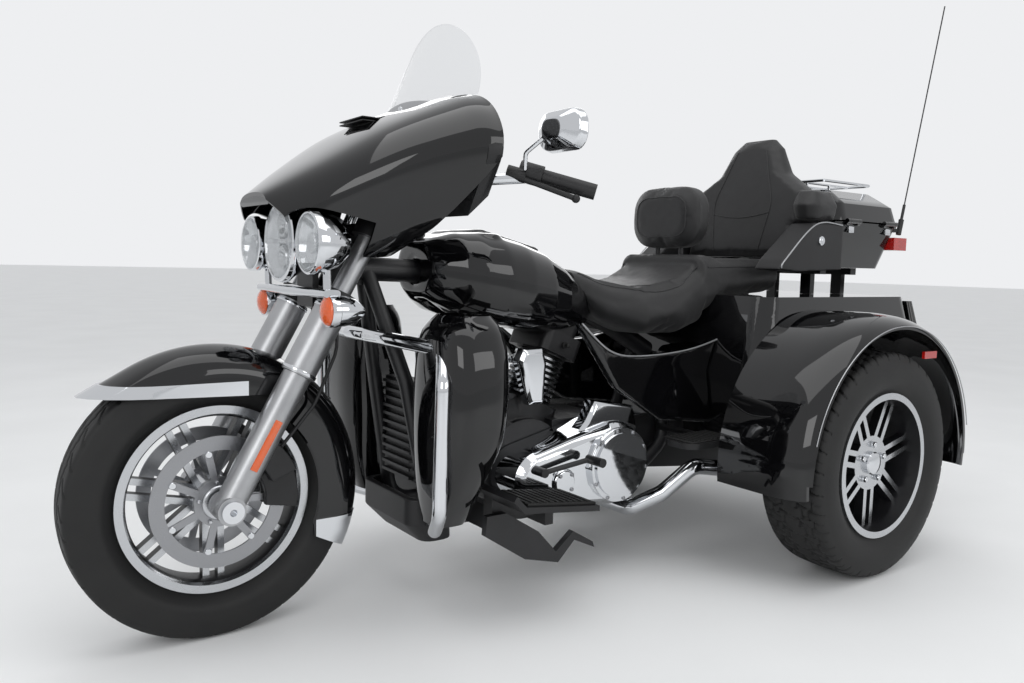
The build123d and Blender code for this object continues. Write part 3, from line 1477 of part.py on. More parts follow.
for side, name in ((1, "left"), (-1, "right")):
    NODES[f"rear_tyre_{name}"] = lambda side=side: tyre(
        0, side * HALF_TRACK, REAR_RADIUS, REAR_TYRE_WIDTH, REAR_RIM_RADIUS, REAR_RIM_WIDTH
    )
    NODES[f"rear_rim_{name}"] = lambda side=side: rim(
        0, side * HALF_TRACK, REAR_RADIUS, REAR_RIM_RADIUS, REAR_RIM_WIDTH, REAR_FACE_Y, REAR_HUB, side
    )


def export(name, make):
    """Writes one node, moved so that the origin is under the middle of the vehicle."""
    solids = make().solids()
    piece = Compound(children=[Pos(-ORIGIN_X, 0, 0) * s for s in solids])
    export_step(piece, f"parts/{name}.step")


os.makedirs("parts", exist_ok=True)
for name, make in NODES.items():
    export(name, make)
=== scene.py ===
import json
import math

import bmesh
import bpy
import numpy as np
from mathutils import Matrix, Vector

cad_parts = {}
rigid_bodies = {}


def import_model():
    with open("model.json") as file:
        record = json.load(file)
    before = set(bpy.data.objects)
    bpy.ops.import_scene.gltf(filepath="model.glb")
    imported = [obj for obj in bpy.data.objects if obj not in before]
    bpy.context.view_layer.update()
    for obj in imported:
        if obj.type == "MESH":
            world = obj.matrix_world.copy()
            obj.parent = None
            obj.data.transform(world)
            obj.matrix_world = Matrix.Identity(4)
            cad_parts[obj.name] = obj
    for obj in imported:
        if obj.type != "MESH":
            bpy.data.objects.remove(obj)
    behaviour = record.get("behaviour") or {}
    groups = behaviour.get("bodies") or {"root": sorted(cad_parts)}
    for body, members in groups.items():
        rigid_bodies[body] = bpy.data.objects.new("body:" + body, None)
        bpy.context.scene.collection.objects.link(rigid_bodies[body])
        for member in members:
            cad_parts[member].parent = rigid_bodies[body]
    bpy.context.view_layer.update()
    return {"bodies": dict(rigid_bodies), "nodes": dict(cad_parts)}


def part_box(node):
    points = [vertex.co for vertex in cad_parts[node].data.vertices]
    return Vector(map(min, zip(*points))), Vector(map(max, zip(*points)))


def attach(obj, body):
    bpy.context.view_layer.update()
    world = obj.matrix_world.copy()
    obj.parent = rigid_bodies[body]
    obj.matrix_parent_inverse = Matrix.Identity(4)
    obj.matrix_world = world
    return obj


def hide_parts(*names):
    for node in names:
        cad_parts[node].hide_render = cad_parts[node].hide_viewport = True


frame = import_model()

# Sizes in metres in the row frame: x forward from the vehicle's middle, y to the rider's left, z up.
# REAR_X is where the rear axle's centre line crosses the x axis.
rear_low, rear_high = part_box("rear_tyre_left")
REAR_X = (rear_low.x + rear_high.x) / 2
MM = 0.001
SIDES = ((1, "left"), (-1, "right"))


def at(x, y, z):
    """A place given in millimetres from the rear axle's centre line and the floor."""
    return np.array([REAR_X + x * MM, y * MM, z * MM])


# Materials
def linear(code):
    """Linear RGBA of an sRGB hex colour."""
    parts = np.array([int(code[i : i + 2], 16) for i in (0, 2, 4)]) / 255
    parts = np.where(parts <= 0.04045, parts / 12.92, ((parts + 0.055) / 1.055) ** 2.4)
    return (*parts.tolist(), 1.0)


def add(tree, kind, inputs=(), **settings):
    """Adds a node. inputs holds (socket, value or output socket) pairs."""
    node = tree.nodes.new("ShaderNode" + kind)
    for key, value in settings.items():
        setattr(node, key, value)
    for socket, value in inputs:
        if isinstance(value, bpy.types.NodeSocket):
            tree.links.new(value, node.inputs[socket])
        else:
            node.inputs[socket].default_value = value
    return node


def blank(name):
    """A material with only its output, and its tree."""
    made = bpy.data.materials.new(name)
    made.use_nodes = True
    made.node_tree.nodes.clear()
    return made, made.node_tree


def noise(tree, size_mm, detail=3.0, rough=0.5, stretch=(1.0, 1.0, 1.0)):
    """Noise whose lumps are about size_mm across, stretched along the axes."""
    place = add(tree, "TexCoord").outputs["Object"]
    place = add(tree, "Mapping", [("Vector", place), ("Scale", stretch)]).outputs["Vector"]
    scale = 1 / (size_mm * MM)
    return add(
        tree, "TexNoise", [("Vector", place), ("Scale", scale), ("Detail", detail), ("Roughness", rough)]
    )


def ramp(tree, factor, stops):
    """Colour ramp through (position, grey or colour) stops."""
    node = add(tree, "ValToRGB", [("Fac", factor)])
    for _ in stops[2:]:
        node.color_ramp.elements.new(0.5)
    for element, (place, value) in zip(node.color_ramp.elements, stops):
        element.position = place
        element.color = value if isinstance(value, tuple) else (value, value, value, 1)
    return node.outputs["Color"]


def bump(tree, height, depth_mm, strength=1.0, under=None):
    """Bump whose full height stands for depth_mm."""
    inputs = [("Height", height), ("Distance", depth_mm * MM), ("Strength", strength)]
    if under is not None:
        inputs.append(("Normal", under))
    return add(tree, "Bump", inputs).outputs["Normal"]


def finish(made, tree, inputs):
    """Ends a material in one Principled shader."""
    shader = add(tree, "BsdfPrincipled", inputs)
    add(tree, "OutputMaterial", [("Surface", shader.outputs["BSDF"])])
    return made


def surface(colour, rough, normal):
    """Inputs of a plain surface."""
    return [("Base Color", colour), ("Roughness", rough), ("Normal", normal)]


def gloss_paint(name="clear_coated_black_enamel"):
    """Black enamel under clear coat: deep, with a faint orange peel and fine dust in the roughness."""
    made, tree = blank(name)
    peel = noise(tree, 9, 2)
    dust = noise(tree, 2.0, 6)
    rough = ramp(tree, dust.outputs["Fac"], [(0.35, 0.05), (0.75, 0.10)])
    shade = noise(tree, 240, 2)
    colour = ramp(tree, shade.outputs["Fac"], [(0.3, linear("070708")), (0.7, linear("0b0b0d"))])
    normal = bump(tree, peel.outputs["Fac"], 0.02)
    return finish(
        made,
        tree,
        [
            ("Base Color", colour),
            ("Roughness", rough),
            ("Specular IOR Level", 0.1),
            ("Coat Weight", 1.0),
            ("Coat Roughness", 0.025),
            ("Normal", normal),
        ],
    )


def satin_paint(name="powder_coated_satin_black"):
    """Powder coat on steel tube: even satin with the coat's small lumps."""
    made, tree = blank(name)
    lumps = noise(tree, 1.6, 3)
    wear = noise(tree, 60, 4)
    colour = ramp(tree, wear.outputs["Fac"], [(0.3, linear("101012")), (0.72, linear("19191c"))])
    rough = ramp(tree, lumps.outputs["Fac"], [(0.3, 0.34), (0.7, 0.46)])
    normal = bump(tree, lumps.outputs["Fac"], 0.06)
    return finish(made, tree, surface(colour, rough, normal))


def wrinkle_paint(name="wrinkle_enamel_on_cast_aluminium"):
    """Wrinkle enamel on engine castings: fine ridges that scatter the light."""
    made, tree = blank(name)
    cells = noise(tree, 1.4, 4, 0.65)
    oil = noise(tree, 45, 4)
    colour = ramp(tree, oil.outputs["Fac"], [(0.3, linear("0e0e10")), (0.75, linear("1b1b1d"))])
    rough = ramp(tree, cells.outputs["Fac"], [(0.3, 0.38), (0.7, 0.55)])
    normal = bump(tree, cells.outputs["Fac"], 0.18)
    return finish(made, tree, surface(colour, rough, normal))


def chrome(name="chromium_plate"):
    """Bright chromium plate: near-mirror, with faint wipe marks."""
    made, tree = blank(name)
    wipe = noise(tree, 30, 5, 0.6, (1, 1, 3))
    rough = ramp(tree, wipe.outputs["Fac"], [(0.3, 0.03), (0.8, 0.09)])
    return finish(made, tree, [("Base Color", linear("d9dbde")), ("Metallic", 1.0), ("Roughness", rough)])


def bright_aluminium(name="machined_clear_coated_aluminium"):
    """Machined aluminium wheel under clear coat, with turning marks."""
    made, tree = blank(name)
    marks = noise(tree, 1.2, 2, 0.5, (1, 0.1, 1))
    tint = noise(tree, 50, 3)
    rough = ramp(tree, tint.outputs["Fac"], [(0.3, 0.20), (0.75, 0.30)])
    normal = bump(tree, marks.outputs["Fac"], 0.02)
    return finish(
        made,
        tree,
        [
            ("Base Color", linear("c4c6c9")),
            ("Metallic", 1.0),
            ("Roughness", rough),
            ("Coat Weight", 0.4),
            ("Normal", normal),
        ],
    )


def satin_aluminium(name="bead_blasted_cast_aluminium"):
    """Cast and painted fork slider: satin grey metal with fine grit."""
    made, tree = blank(name)
    grit = noise(tree, 0.9, 3)
    tint = noise(tree, 80, 3)
    colour = ramp(tree, tint.outputs["Fac"], [(0.3, linear("a7a8aa")), (0.75, linear("b7b8ba"))])
    rough = ramp(tree, grit.outputs["Fac"], [(0.3, 0.30), (0.7, 0.42)])
    normal = bump(tree, grit.outputs["Fac"], 0.03)
    return finish(
        made,
        tree,
        [("Base Color", colour), ("Metallic", 0.9), ("Roughness", rough), ("Normal", normal)],
    )


def ground_steel(name="ground_brake_steel"):
    """Ground stainless brake disc with fine marks from the pads."""
    made, tree = blank(name)
    marks = noise(tree, 2.0, 4, 0.6)
    rough = ramp(tree, marks.outputs["Fac"], [(0.3, 0.26), (0.7, 0.4)])
    return finish(
        made,
        tree,
        [
            ("Base Color", linear("9c9da0")),
            ("Metallic", 1.0),
            ("Roughness", rough),
            ("Normal", bump(tree, marks.outputs["Fac"], 0.03)),
        ],
    )


def moulded_plastic(name="grained_black_abs"):
    """Moulded black plastic with a fine grain."""
    made, tree = blank(name)
    grain = noise(tree, 1.1, 3)
    colour = ramp(
        tree, noise(tree, 90, 3).outputs["Fac"], [(0.3, linear("0d0d0f")), (0.75, linear("161618"))]
    )
    rough = ramp(tree, grain.outputs["Fac"], [(0.3, 0.42), (0.7, 0.56)])
    normal = bump(tree, grain.outputs["Fac"], 0.08)
    return finish(made, tree, surface(colour, rough, normal))


def tyre_rubber(name="carbon_black_tyre_rubber"):
    """Tyre rubber: dull black with mould haze and a little dust."""
    made, tree = blank(name)
    haze = noise(tree, 70, 4)
    grit = noise(tree, 1.0, 4)
    colour = ramp(tree, haze.outputs["Fac"], [(0.3, linear("0a0a0b")), (0.8, linear("141413"))])
    rough = ramp(tree, grit.outputs["Fac"], [(0.3, 0.55), (0.7, 0.72)])
    normal = bump(tree, grit.outputs["Fac"], 0.08)
    return finish(made, tree, surface(colour, rough, normal))


def saddle_vinyl(name="grained_saddle_vinyl"):
    """Upholstery vinyl: leather-like pebbles about a millimetre and a half across, soft sheen."""
    made, tree = blank(name)
    place = add(tree, "TexCoord").outputs["Object"]
    pebbles = add(
        tree, "TexVoronoi", [("Vector", place), ("Scale", 1 / (2.2 * MM))], feature="DISTANCE_TO_EDGE"
    )
    height = ramp(tree, pebbles.outputs["Distance"], [(0.0, 0.0), (0.25, 1.0)])
    creases = noise(tree, 26, 5, 0.6)
    colour = ramp(
        tree, noise(tree, 120, 3).outputs["Fac"], [(0.3, linear("0c0c0d")), (0.75, linear("151517"))]
    )
    rough = ramp(tree, creases.outputs["Fac"], [(0.3, 0.42), (0.75, 0.58)])
    normal = bump(tree, creases.outputs["Fac"], 0.25, 0.6, bump(tree, height, 0.10, 0.8))
    return finish(
        made,
        tree,
        [
            ("Base Color", colour),
            ("Roughness", rough),
            ("Sheen Weight", 0.12),
            ("Sheen Roughness", 0.5),
            ("Normal", normal),
        ],
    )


def clear_glass(name="clear_polycarbonate", tint="b9bdc0", strength=0.16):
    """Clear hard-coated plastic: light passes, the surface mirrors softly."""
    made, tree = blank(name)
    haze = noise(tree, 40, 3)
    rough = ramp(tree, haze.outputs["Fac"], [(0.3, 0.01), (0.8, 0.04)])
    return finish(
        made,
        tree,
        [("Base Color", linear(tint)), ("Roughness", rough), ("IOR", 1.45), ("Alpha", strength)],
    )


def lens(name, code):
    """Coloured lamp lens of moulded acrylic, ribbed inside."""
    made, tree = blank(name)
    ribs = add(
        tree,
        "TexWave",
        [("Vector", add(tree, "TexCoord").outputs["Object"]), ("Scale", 1 / (10 * MM))],
        bands_direction="Z",
    )
    return finish(
        made,
        tree,
        [
            ("Base Color", linear(code)),
            ("Roughness", 0.12),
            ("Transmission Weight", 0.35),
            ("Coat Weight", 1.0),
            ("Normal", bump(tree, ribs.outputs["Fac"], 0.3)),
        ],
    )


PAINT = gloss_paint()
SATIN = satin_paint()
WRINKLE = wrinkle_paint()
CHROME = chrome()
BRIGHT = bright_aluminium()
SLIDER = satin_aluminium()
STEEL = ground_steel()
PLASTIC = moulded_plastic()
TYRE = tyre_rubber()
VINYL = saddle_vinyl()
SCREEN = clear_glass()
RED = lens("red_acrylic_lens", "c8140c")
ORANGE = lens("orange_acrylic_lens", "ff6a13")
LENS = clear_glass("clear_lamp_lens", "d8dcde", 0.22)

FINISHES = {
    PAINT: "front_fender fairing lower_fairings fuel_tank tour_box tour_box_lid side_covers rear_body "
    "rear_fenders trunk_door",
    SATIN: "frame_tubes fork_clamps rear_axle box_mount rider_backrest_posts plate_bracket foot_controls",
    WRINKLE: "engine_cases cylinders oil_cooler front_calipers",
    CHROME: "primary_cover right_covers engine_guard fender_trim front_lamps headlamp handlebar "
    "luggage_rack exhausts mirrors front_axle air_cleaner horn_cover",
    BRIGHT: "front_rim rear_rim_left rear_rim_right",
    SLIDER: "fork_legs fork_covers",
    STEEL: "front_discs",
    PLASTIC: "chin_spoiler inner_fairing armrests hand_controls antenna drive_belt rider_footboards "
    "passenger_footboards",
    VINYL: "seat rider_backrest passenger_backrest",
    TYRE: "front_tyre rear_tyre_left rear_tyre_right",
    SCREEN: "windshield",
    RED: "rear_lamps",
}
for made, names in FINISHES.items():
    for name in names.split():
        node = frame["nodes"][name]
        node.data.materials.clear()
        node.data.materials.append(made)


# Shapes. A shape is (vertices in millimetres from the rear axle and the floor, quads, triangles)
NO_TRIS = np.zeros((0, 3), int)
REPLACED = set()


def outward(verts, quads, tris=NO_TRIS):
    """Turns every face of a closed shape outwards, going by the sign of its volume."""
    flat = np.concatenate([quads[:, :3], quads[:, [0, 2, 3]], tris])
    a, b, c = verts[flat].transpose(1, 0, 2)
    if np.einsum("ij,ij->", a, np.cross(b, c)) < 0:
        quads, tris = quads[:, ::-1], tris[:, ::-1]
    return verts, quads, tris


def skin(grid, bridged=False):
    """Quads over a grid of points: rows along, columns round and joined, with a fan at each end. A wall
    whose section goes out and back is bridged: its ends are quads from one face to the other."""
    rows, cols = grid.shape[:2]
    index = np.arange(rows * cols).reshape(rows, cols)
    index = np.concatenate([index, index[:, :1]], axis=1)
    quads = np.stack([index[:-1, :-1], index[:-1, 1:], index[1:, 1:], index[1:, :-1]], -1).reshape(-1, 4)
    verts = grid.reshape(-1, 3)
    if bridged:
        near = np.arange(cols // 2 - 1)
        first = np.stack([near, near + 1, cols - 2 - near, cols - 1 - near], -1)
        last = first[:, ::-1] + (rows - 1) * cols
        return outward(verts, np.concatenate([quads, first, last]))
    first, last = np.full(cols, len(verts)), np.full(cols, len(verts) + 1)
    turn = np.roll(np.arange(cols), -1)
    tris = np.concatenate(
        [
            np.stack([first, index[0, :cols][turn], index[0, :cols]], -1),
            np.stack([last, index[-1, :cols], index[-1, :cols][turn]], -1),
        ]
    )
    verts = np.concatenate([verts, grid[:1].mean(1), grid[-1:].mean(1)])
    return outward(verts, quads, tris)


def smooth(points, count):
    """Curve through rows of numbers: in each span a cubic whose end slopes are half the chord across
    its neighbours."""
    rows = np.asarray(points, float)
    total = len(rows)
    place = np.linspace(0, total - 1, count)
    low = np.minimum(place.astype(int), total - 2)
    t = (place - low)[:, None]
    a, b, c, d = (rows[np.clip(low + k, 0, total - 1)] for k in (-1, 0, 1, 2))
    return b + (c - a) * t / 2 + (2 * a - 5 * b + 4 * c - d) * t**2 / 2 + (3 * b - a - 3 * c + d) * t**3 / 2


def tube(path, radius, sides=16):
    """Round bar: circles square to a path, each turned as little as can be from the one before."""
    path = np.asarray(path, float)
    radius = np.broadcast_to(radius, len(path))
    ahead = np.gradient(path, axis=0)
    ahead /= np.linalg.norm(ahead, axis=1, keepdims=True)
    out = np.zeros_like(path)
    out[0] = np.cross(ahead[0], [0.3, 0.2, 0.93])
    for n in range(len(path)):
        side = out[max(n - 1, 0)]
        side = side - ahead[n] * (side @ ahead[n])
        out[n] = side / np.linalg.norm(side)
    up = np.cross(ahead, out)
    angle = np.linspace(0, 2 * np.pi, sides, endpoint=False)
    ring = out[:, None] * np.cos(angle)[:, None] + up[:, None] * np.sin(angle)[:, None]
    return skin(path[:, None] + ring * radius[:, None, None])


def bent(points, bend, step=6.0):
    """Straight runs joined by arcs: each corner is an arc of the bend radius that touches both runs."""
    points = np.asarray(points, float)
    stops = [points[0]]
    for before, corner, after in zip(points, points[1:], points[2:]):
        back = (before - corner) / np.linalg.norm(before - corner)
        away = (after - corner) / np.linalg.norm(after - corner)
        turn = np.pi - np.arccos(np.clip(back @ away, -1, 1))
        half = (back + away) / np.linalg.norm(back + away)
        centre = corner + half * bend / np.cos(turn / 2)
        arm = corner + back * bend * np.tan(turn / 2) - centre
        angle = np.linspace(0, turn, max(3, int(np.degrees(turn) / step)))[:, None]
        stops.extend(centre + arm * np.cos(angle) - back * bend * np.sin(angle))
    return np.array([*stops, points[-1]])


def turned(profile, centre, axis=(0, 1, 0), sides=64):
    """Surface of revolution: the profile's (along, radius) points swung round a line."""
    axis = np.asarray(axis, float) / np.linalg.norm(axis)
    side = np.cross(axis, [0.0, 0.0, 1.0] if abs(axis[2]) < 0.9 else [1.0, 0.0, 0.0])
    side /= np.linalg.norm(side)
    up = np.cross(axis, side)
    along, radius = np.asarray(profile, float).T
    angle = np.linspace(0, 2 * np.pi, sides, endpoint=False)
    ring = np.cos(angle)[:, None] * side + np.sin(angle)[:, None] * up
    grid = np.asarray(centre, float) + along[:, None, None] * axis + radius[:, None, None] * ring
    return skin(grid)


def oval(half_wide, half_high, power, count=64):
    """Superellipse: |a/wide|^power + |b/high|^power = 1, going round once."""
    angle = np.linspace(0, 2 * np.pi, count, endpoint=False)
    c, s = np.cos(angle), np.sin(angle)
    return np.stack(
        [half_wide * np.sign(c) * abs(c) ** (2 / power), half_high * np.sign(s) * abs(s) ** (2 / power)], -1
    )


def lofted(axis, rows, count, power=3.0, around=72):
    """Smooth body through superellipses. Rows: station, centre and full size across the axis, power."""
    table = smooth(rows, count)
    grid = np.empty((count, around, 3))
    across = {"x": (1, 2), "y": (0, 2), "z": (0, 1)}[axis]
    for n, (station, u, v, wide, high, *own) in enumerate(table):
        ring = oval(max(wide, 1) / 2, max(high, 1) / 2, own[0] if own else power, around)
        grid[n, :, "xyz".index(axis)] = station
        grid[n, :, across[0]] = u + ring[:, 0]
        grid[n, :, across[1]] = v + ring[:, 1]
    return skin(grid)


def prism(outline, low, high):
    """Straight prism across the machine, from y = low to high, on an outline in the side view (x, z)."""
    x, z = np.asarray(outline, float).T
    return skin(np.stack([np.stack([x, np.full(len(x), level), z], -1) for level in (low, high)]))


def slab(low, high):
    """Box given by two corners."""
    (x0, y0, z0), (x1, y1, z1) = low, high
    return prism([(x0, z0), (x1, z0), (x1, z1), (x0, z1)], y0, y1)


def merged(*shapes):
    """Several shapes as one."""
    start = np.cumsum([0, *[len(s[0]) for s in shapes]])
    return (
        np.concatenate([s[0] for s in shapes]),
        np.concatenate([s[1] + k for s, k in zip(shapes, start)]),
        np.concatenate([s[2] + k for s, k in zip(shapes, start)]),
    )


def bare(name, shape):
    """A mesh object from a shape, in row metres."""
    verts, quads, tris = shape
    mesh = bpy.data.meshes.new(name)
    mesh.from_pydata((verts * MM + [REAR_X, 0, 0]).tolist(), [], quads.tolist() + tris.tolist())
    mesh.update()
    made = bpy.data.objects.new(name, mesh)
    bpy.context.scene.collection.objects.link(made)
    return made


def applied(made):
    """Replaces an object's mesh with what its modifiers give, and removes them."""
    bpy.context.view_layer.update()
    graph = bpy.context.evaluated_depsgraph_get()
    mesh = bpy.data.meshes.new_from_object(made.evaluated_get(graph))
    made.modifiers.clear()
    made.data = mesh


def piece(name, shape, material, body, stands_for=(), bevel=0.0, cuts=(), sharp=32.0):
    """A finished piece: a shape with cutters taken away, its edges rounded by bevel millimetres, shaded
    smooth below the sharp angle, riding on a body."""
    made = bare(name, shape)
    for cut in cuts:
        tool = bare("tool", cut)
        step = made.modifiers.new("boolean", "BOOLEAN")
        step.operation, step.object, step.solver = "DIFFERENCE", tool, "EXACT"
        applied(made)
        bpy.data.objects.remove(tool)
    if bevel:
        step = made.modifiers.new("bevel", "BEVEL")
        step.width, step.segments, step.limit_method = bevel * MM, 2, "ANGLE"
        step.angle_limit = math.radians(sharp)
        applied(made)
    return dressed(made, material, body, stands_for, sharp)


# The body and material of each of the frame's nodes
BODY_OF = {
    name: body
    for body, empty in frame["bodies"].items()
    for name, node in frame["nodes"].items()
    if node.parent == empty
}
FINISH_OF = {name: made for made, names in FINISHES.items() for name in names.split()}


# Copies of the frame's own nodes. Points closer than MERGED_WITHIN millimetres and faces that meet at
# less than FLAT_WITHIN become one. A rounded copy is shaded smooth below ROUND_BELOW degrees.
MERGED_WITHIN, FLAT_WITHIN, ROUND_BELOW = 0.02, math.radians(0.4), 60.0


def copied(name):
    """A node's mesh as a new object at the origin, its loose triangles merged and its flat areas made
    single faces."""
    node = frame["nodes"][name]
    bm = bmesh.new()
    bm.from_mesh(node.data)
    bm.transform(node.matrix_world)
    bmesh.ops.remove_doubles(bm, verts=bm.verts, dist=MERGED_WITHIN * MM)
    bmesh.ops.dissolve_limit(bm, angle_limit=FLAT_WITHIN, verts=bm.verts, edges=bm.edges)
    mesh = bpy.data.meshes.new(name + "_skin")
    bm.to_mesh(mesh)
    bm.free()
    made = bpy.data.objects.new(name + "_skin", mesh)
    bpy.context.scene.collection.objects.link(made)
    return made


def dressed(made, material, body, nodes=(), sharp=32.0):
    """Gives an object its material, smooth shading below the sharp angle, its body and the
    nodes it stands for."""
    mesh = made.data
    mesh.materials.clear()
    mesh.materials.append(material)
    mesh.shade_smooth()
    mesh.set_sharp_from_angle(angle=math.radians(sharp))
    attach(made, body)
    if nodes:
        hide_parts(*nodes)
        REPLACED.update(nodes)
    return made


def polished(name, sharp=32.0):
    """A copy of a node with smooth shading where its faces meet at less than the sharp angle."""
    made = copied(name)
    step = made.modifiers.new("normals", "WEIGHTED_NORMAL")
    step.keep_sharp = True
    return dressed(made, FINISH_OF[name], BODY_OF[name], [name], sharp)


def softened(name, voxel, passes):
    """A copy of a closed node remeshed in voxel millimetres, with every point moved passes times half
    way to the mean of its neighbours, which rounds its edges as a casting or a pressing has them."""
    made = copied(name)
    step = made.modifiers.new("remesh", "REMESH")
    step.mode, step.voxel_size, step.adaptivity = "VOXEL", voxel * MM, 0.0
    step = made.modifiers.new("smooth", "SMOOTH")
    step.factor, step.iterations = 0.5, passes
    applied(made)
    return dressed(made, FINISH_OF[name], BODY_OF[name], [name], ROUND_BELOW)


def second_finish(made, material, chosen):
    """Gives a second material to the faces for which chosen(centres, normals) is true."""
    mesh = made.data
    count = len(mesh.polygons)
    centres, normals = np.empty(count * 3), np.empty(count * 3)
    mesh.polygons.foreach_get("center", centres)
    mesh.polygons.foreach_get("normal", normals)
    centres = (centres.reshape(-1, 3) - [REAR_X, 0, 0]) / MM
    mesh.materials.append(material)
    mesh.polygons.foreach_set("material_index", chosen(centres, normals.reshape(-1, 3)).astype(np.int32))


# Wheels: the rims' wall, the front axle ahead of the rear one, the tyres' radii and half the rear track.
# The tread starts at a share of the tyre's radius.
RIM_WALL, FRONT_X, FRONT_R, REAR_R, HALF_TRACK = 7.0, 1670.0, 318.0, 324.0, 576.0
TREAD_FROM = 0.86
FRONT_PITCH, REAR_PITCH = 56, 58


def about_axle(section, x, z, y_centre, count, groove):
    """A closed section (across, radius) swung round an axle; groove(arc, across) takes that many
    millimetres off the radius, with the arc measured round the tread."""
    across, radius = np.asarray(section, float).T
    angle = np.linspace(0, 2 * np.pi, count, endpoint=False)
    radii = np.broadcast_to(radius, (count, len(radius))).copy()
    radii -= groove(angle[:, None] * radius.max(), across[None]) * (radius > TREAD_FROM * radius.max())
    grid = np.stack(
        [
            x + radii * np.cos(angle)[:, None],
            np.broadcast_to(y_centre + across, radii.shape),
            z + radii * np.sin(angle)[:, None],
        ],
        -1,
    )
    index = np.arange(grid.shape[0] * grid.shape[1]).reshape(grid.shape[:2])
    index = np.concatenate([index, index[:1]])
    index = np.concatenate([index, index[:, :1]], axis=1)
    quads = np.stack([index[:-1, :-1], index[:-1, 1:], index[1:, 1:], index[1:, :-1]], -1).reshape(-1, 4)
    return outward(grid.reshape(-1, 3), quads)


def tyre_section(radius, width, rim_radius, rim_width, steps):
    """Closed outline: the bead seat, then a smooth curve over sidewall, shoulder and crown."""
    half, bead = width / 2, rim_width / 2 - RIM_WALL - 0.3
    seat, lip = rim_radius - 1.6 * RIM_WALL + 0.3, rim_radius + 3
    shoulder = radius - 0.28 * (radius - rim_radius)
    side = [
        (bead, lip),
        (0.96 * half, (2 * lip + shoulder) / 3),
        (half, (lip + 2 * shoulder) / 3),
        (0.965 * half, shoulder),
        (0.84 * half, radius - 0.20 * (radius - shoulder)),
        (0.45 * half, radius - 1.5),
        (0, radius),
    ]
    curve = smooth([*side, *[(-y, r) for y, r in reversed(side[:-1])]], steps)
    return [(-bead, seat), (bead, seat), *curve.tolist()]


def near_line(value, pitch, width):
    """1 within half a width of every multiple of the pitch, falling to 0 over a millimetre and a half."""
    off = abs((value + pitch / 2) % pitch - pitch / 2)
    return np.clip((width / 2 + 0.8 - off) / 1.5, 0, 1)


def front_tread(arc, across):
    """Two zigzag ribs round the crown and slanted cuts out to the shoulders, 5 mm deep."""
    side = abs(across)
    wave = 7 * abs((arc / FRONT_PITCH % 1) * 2 - 1)
    ribs = np.clip((3.0 - abs(side - 13 - wave)) / 1.5, 0, 1) * (side < 30)
    cuts = near_line(arc + 1.1 * side * np.sign(across), FRONT_PITCH, 5) * (side > 24) * (side < 56)
    return 5.0 * np.maximum(ribs, cuts)


def rear_tread(arc, across):
    """Blocks between three grooves round the tyre and slanted cross grooves, 6 mm deep."""
    side = abs(across)
    wave = 5 * np.sign(np.sin(arc * 2 * np.pi / REAR_PITCH))
    ribs = np.maximum(near_line(side - 30 - wave, 400, 6), near_line(side - 62 + wave, 400, 6))
    cuts = near_line(arc + 0.45 * across, REAR_PITCH, 6) * (side > 6) * (side < 96)
    sipes = near_line(arc + REAR_PITCH / 2 + 0.45 * across, REAR_PITCH, 2.2) * (side > 34) * (side < 92)
    return 6.0 * np.maximum(np.maximum(ribs * (side < 70), cuts), 0.6 * sipes)


section = tyre_section(FRONT_R, 130.0, 215.0, 90.0, 76)
piece(
    "front_tyre_tread",
    about_axle(section, FRONT_X, FRONT_R, 0, 840, front_tread),
    TYRE,
    "front_wheel",
    ["front_tyre"],
    sharp=50,
)
section = tyre_section(REAR_R, 205.0, 207.0, 178.0, 84)
for side, word in SIDES:
    shape = about_axle(section, 0, REAR_R, side * HALF_TRACK, 760, rear_tread)
    piece("rear_tyre_tread_" + word, shape, TYRE, "rear_wheel_" + word, ["rear_tyre_" + word], sharp=50)


def hexes(places, axis, across, high):
    """Hexagon heads: prisms across millimetres wide and high millimetres tall, with a turned-down top."""
    shapes = [
        turned([(0, across / 2), (0.7 * high, across / 2), (high, 0.40 * across)], p, axis, 6)
        for p in places
    ]
    return merged(*shapes)


def ring_places(x, z, y, radius, count, start=0.0):
    """Places evenly round an axle line."""
    angle = np.radians(start) + np.arange(count) * 2 * np.pi / count
    return [(x + radius * math.cos(a), y, z + radius * math.sin(a)) for a in angle]


for name in ("front_rim", "rear_rim_left", "rear_rim_right"):
    made = polished(name, 30)
    axle = FRONT_X if name == "front_rim" else 0.0

    def dark(centres, normals, axle=axle):
        """True on the flanks of the spokes, which stay black."""
        reach = np.hypot(centres[:, 0] - axle, centres[:, 2] - (FRONT_R if axle else REAR_R))
        return (abs(normals[:, 1]) < 0.5) & (reach > 50) & (reach < 192)

    second_finish(made, SATIN, dark)
for side, word in SIDES:
    body, face = "rear_wheel_" + word, side * (HALF_TRACK + 44.5)
    piece(
        "wheel_bolts_" + word,
        hexes(ring_places(0, REAR_R, face, 54, 5, 20), (0, side, 0), 19, 14),
        CHROME,
        body,
        bevel=0.8,
    )
    cap = turned([(0, 33), (10, 33), (14, 30), (17, 20), (18, 0.5)], (0, face, REAR_R), (0, side, 0))
    piece("wheel_cap_" + word, cap, CHROME, body)
    hub = merged(
        turned([(0, 40), (6, 40), (9, 37), (9, 16)], (FRONT_X, side * 67, FRONT_R), (0, side, 0)),
        hexes(ring_places(FRONT_X, FRONT_R, side * 67, 47, 5, 10), (0, side, 0), 10, 7),
    )
    piece("front_hub_ring_" + word, hub, BRIGHT, "front_wheel", bevel=0.5)
    bobbins = [
        turned([(0, 7.5), (4, 7.5), (5, 6.5), (5, 1)], p, (0, side, 0), 20)
        for p in ring_places(FRONT_X, FRONT_R, side * 66, 113, 7, -25)
    ]
    piece("disc_bobbins_" + word, merged(*bobbins), CHROME, "front_wheel")


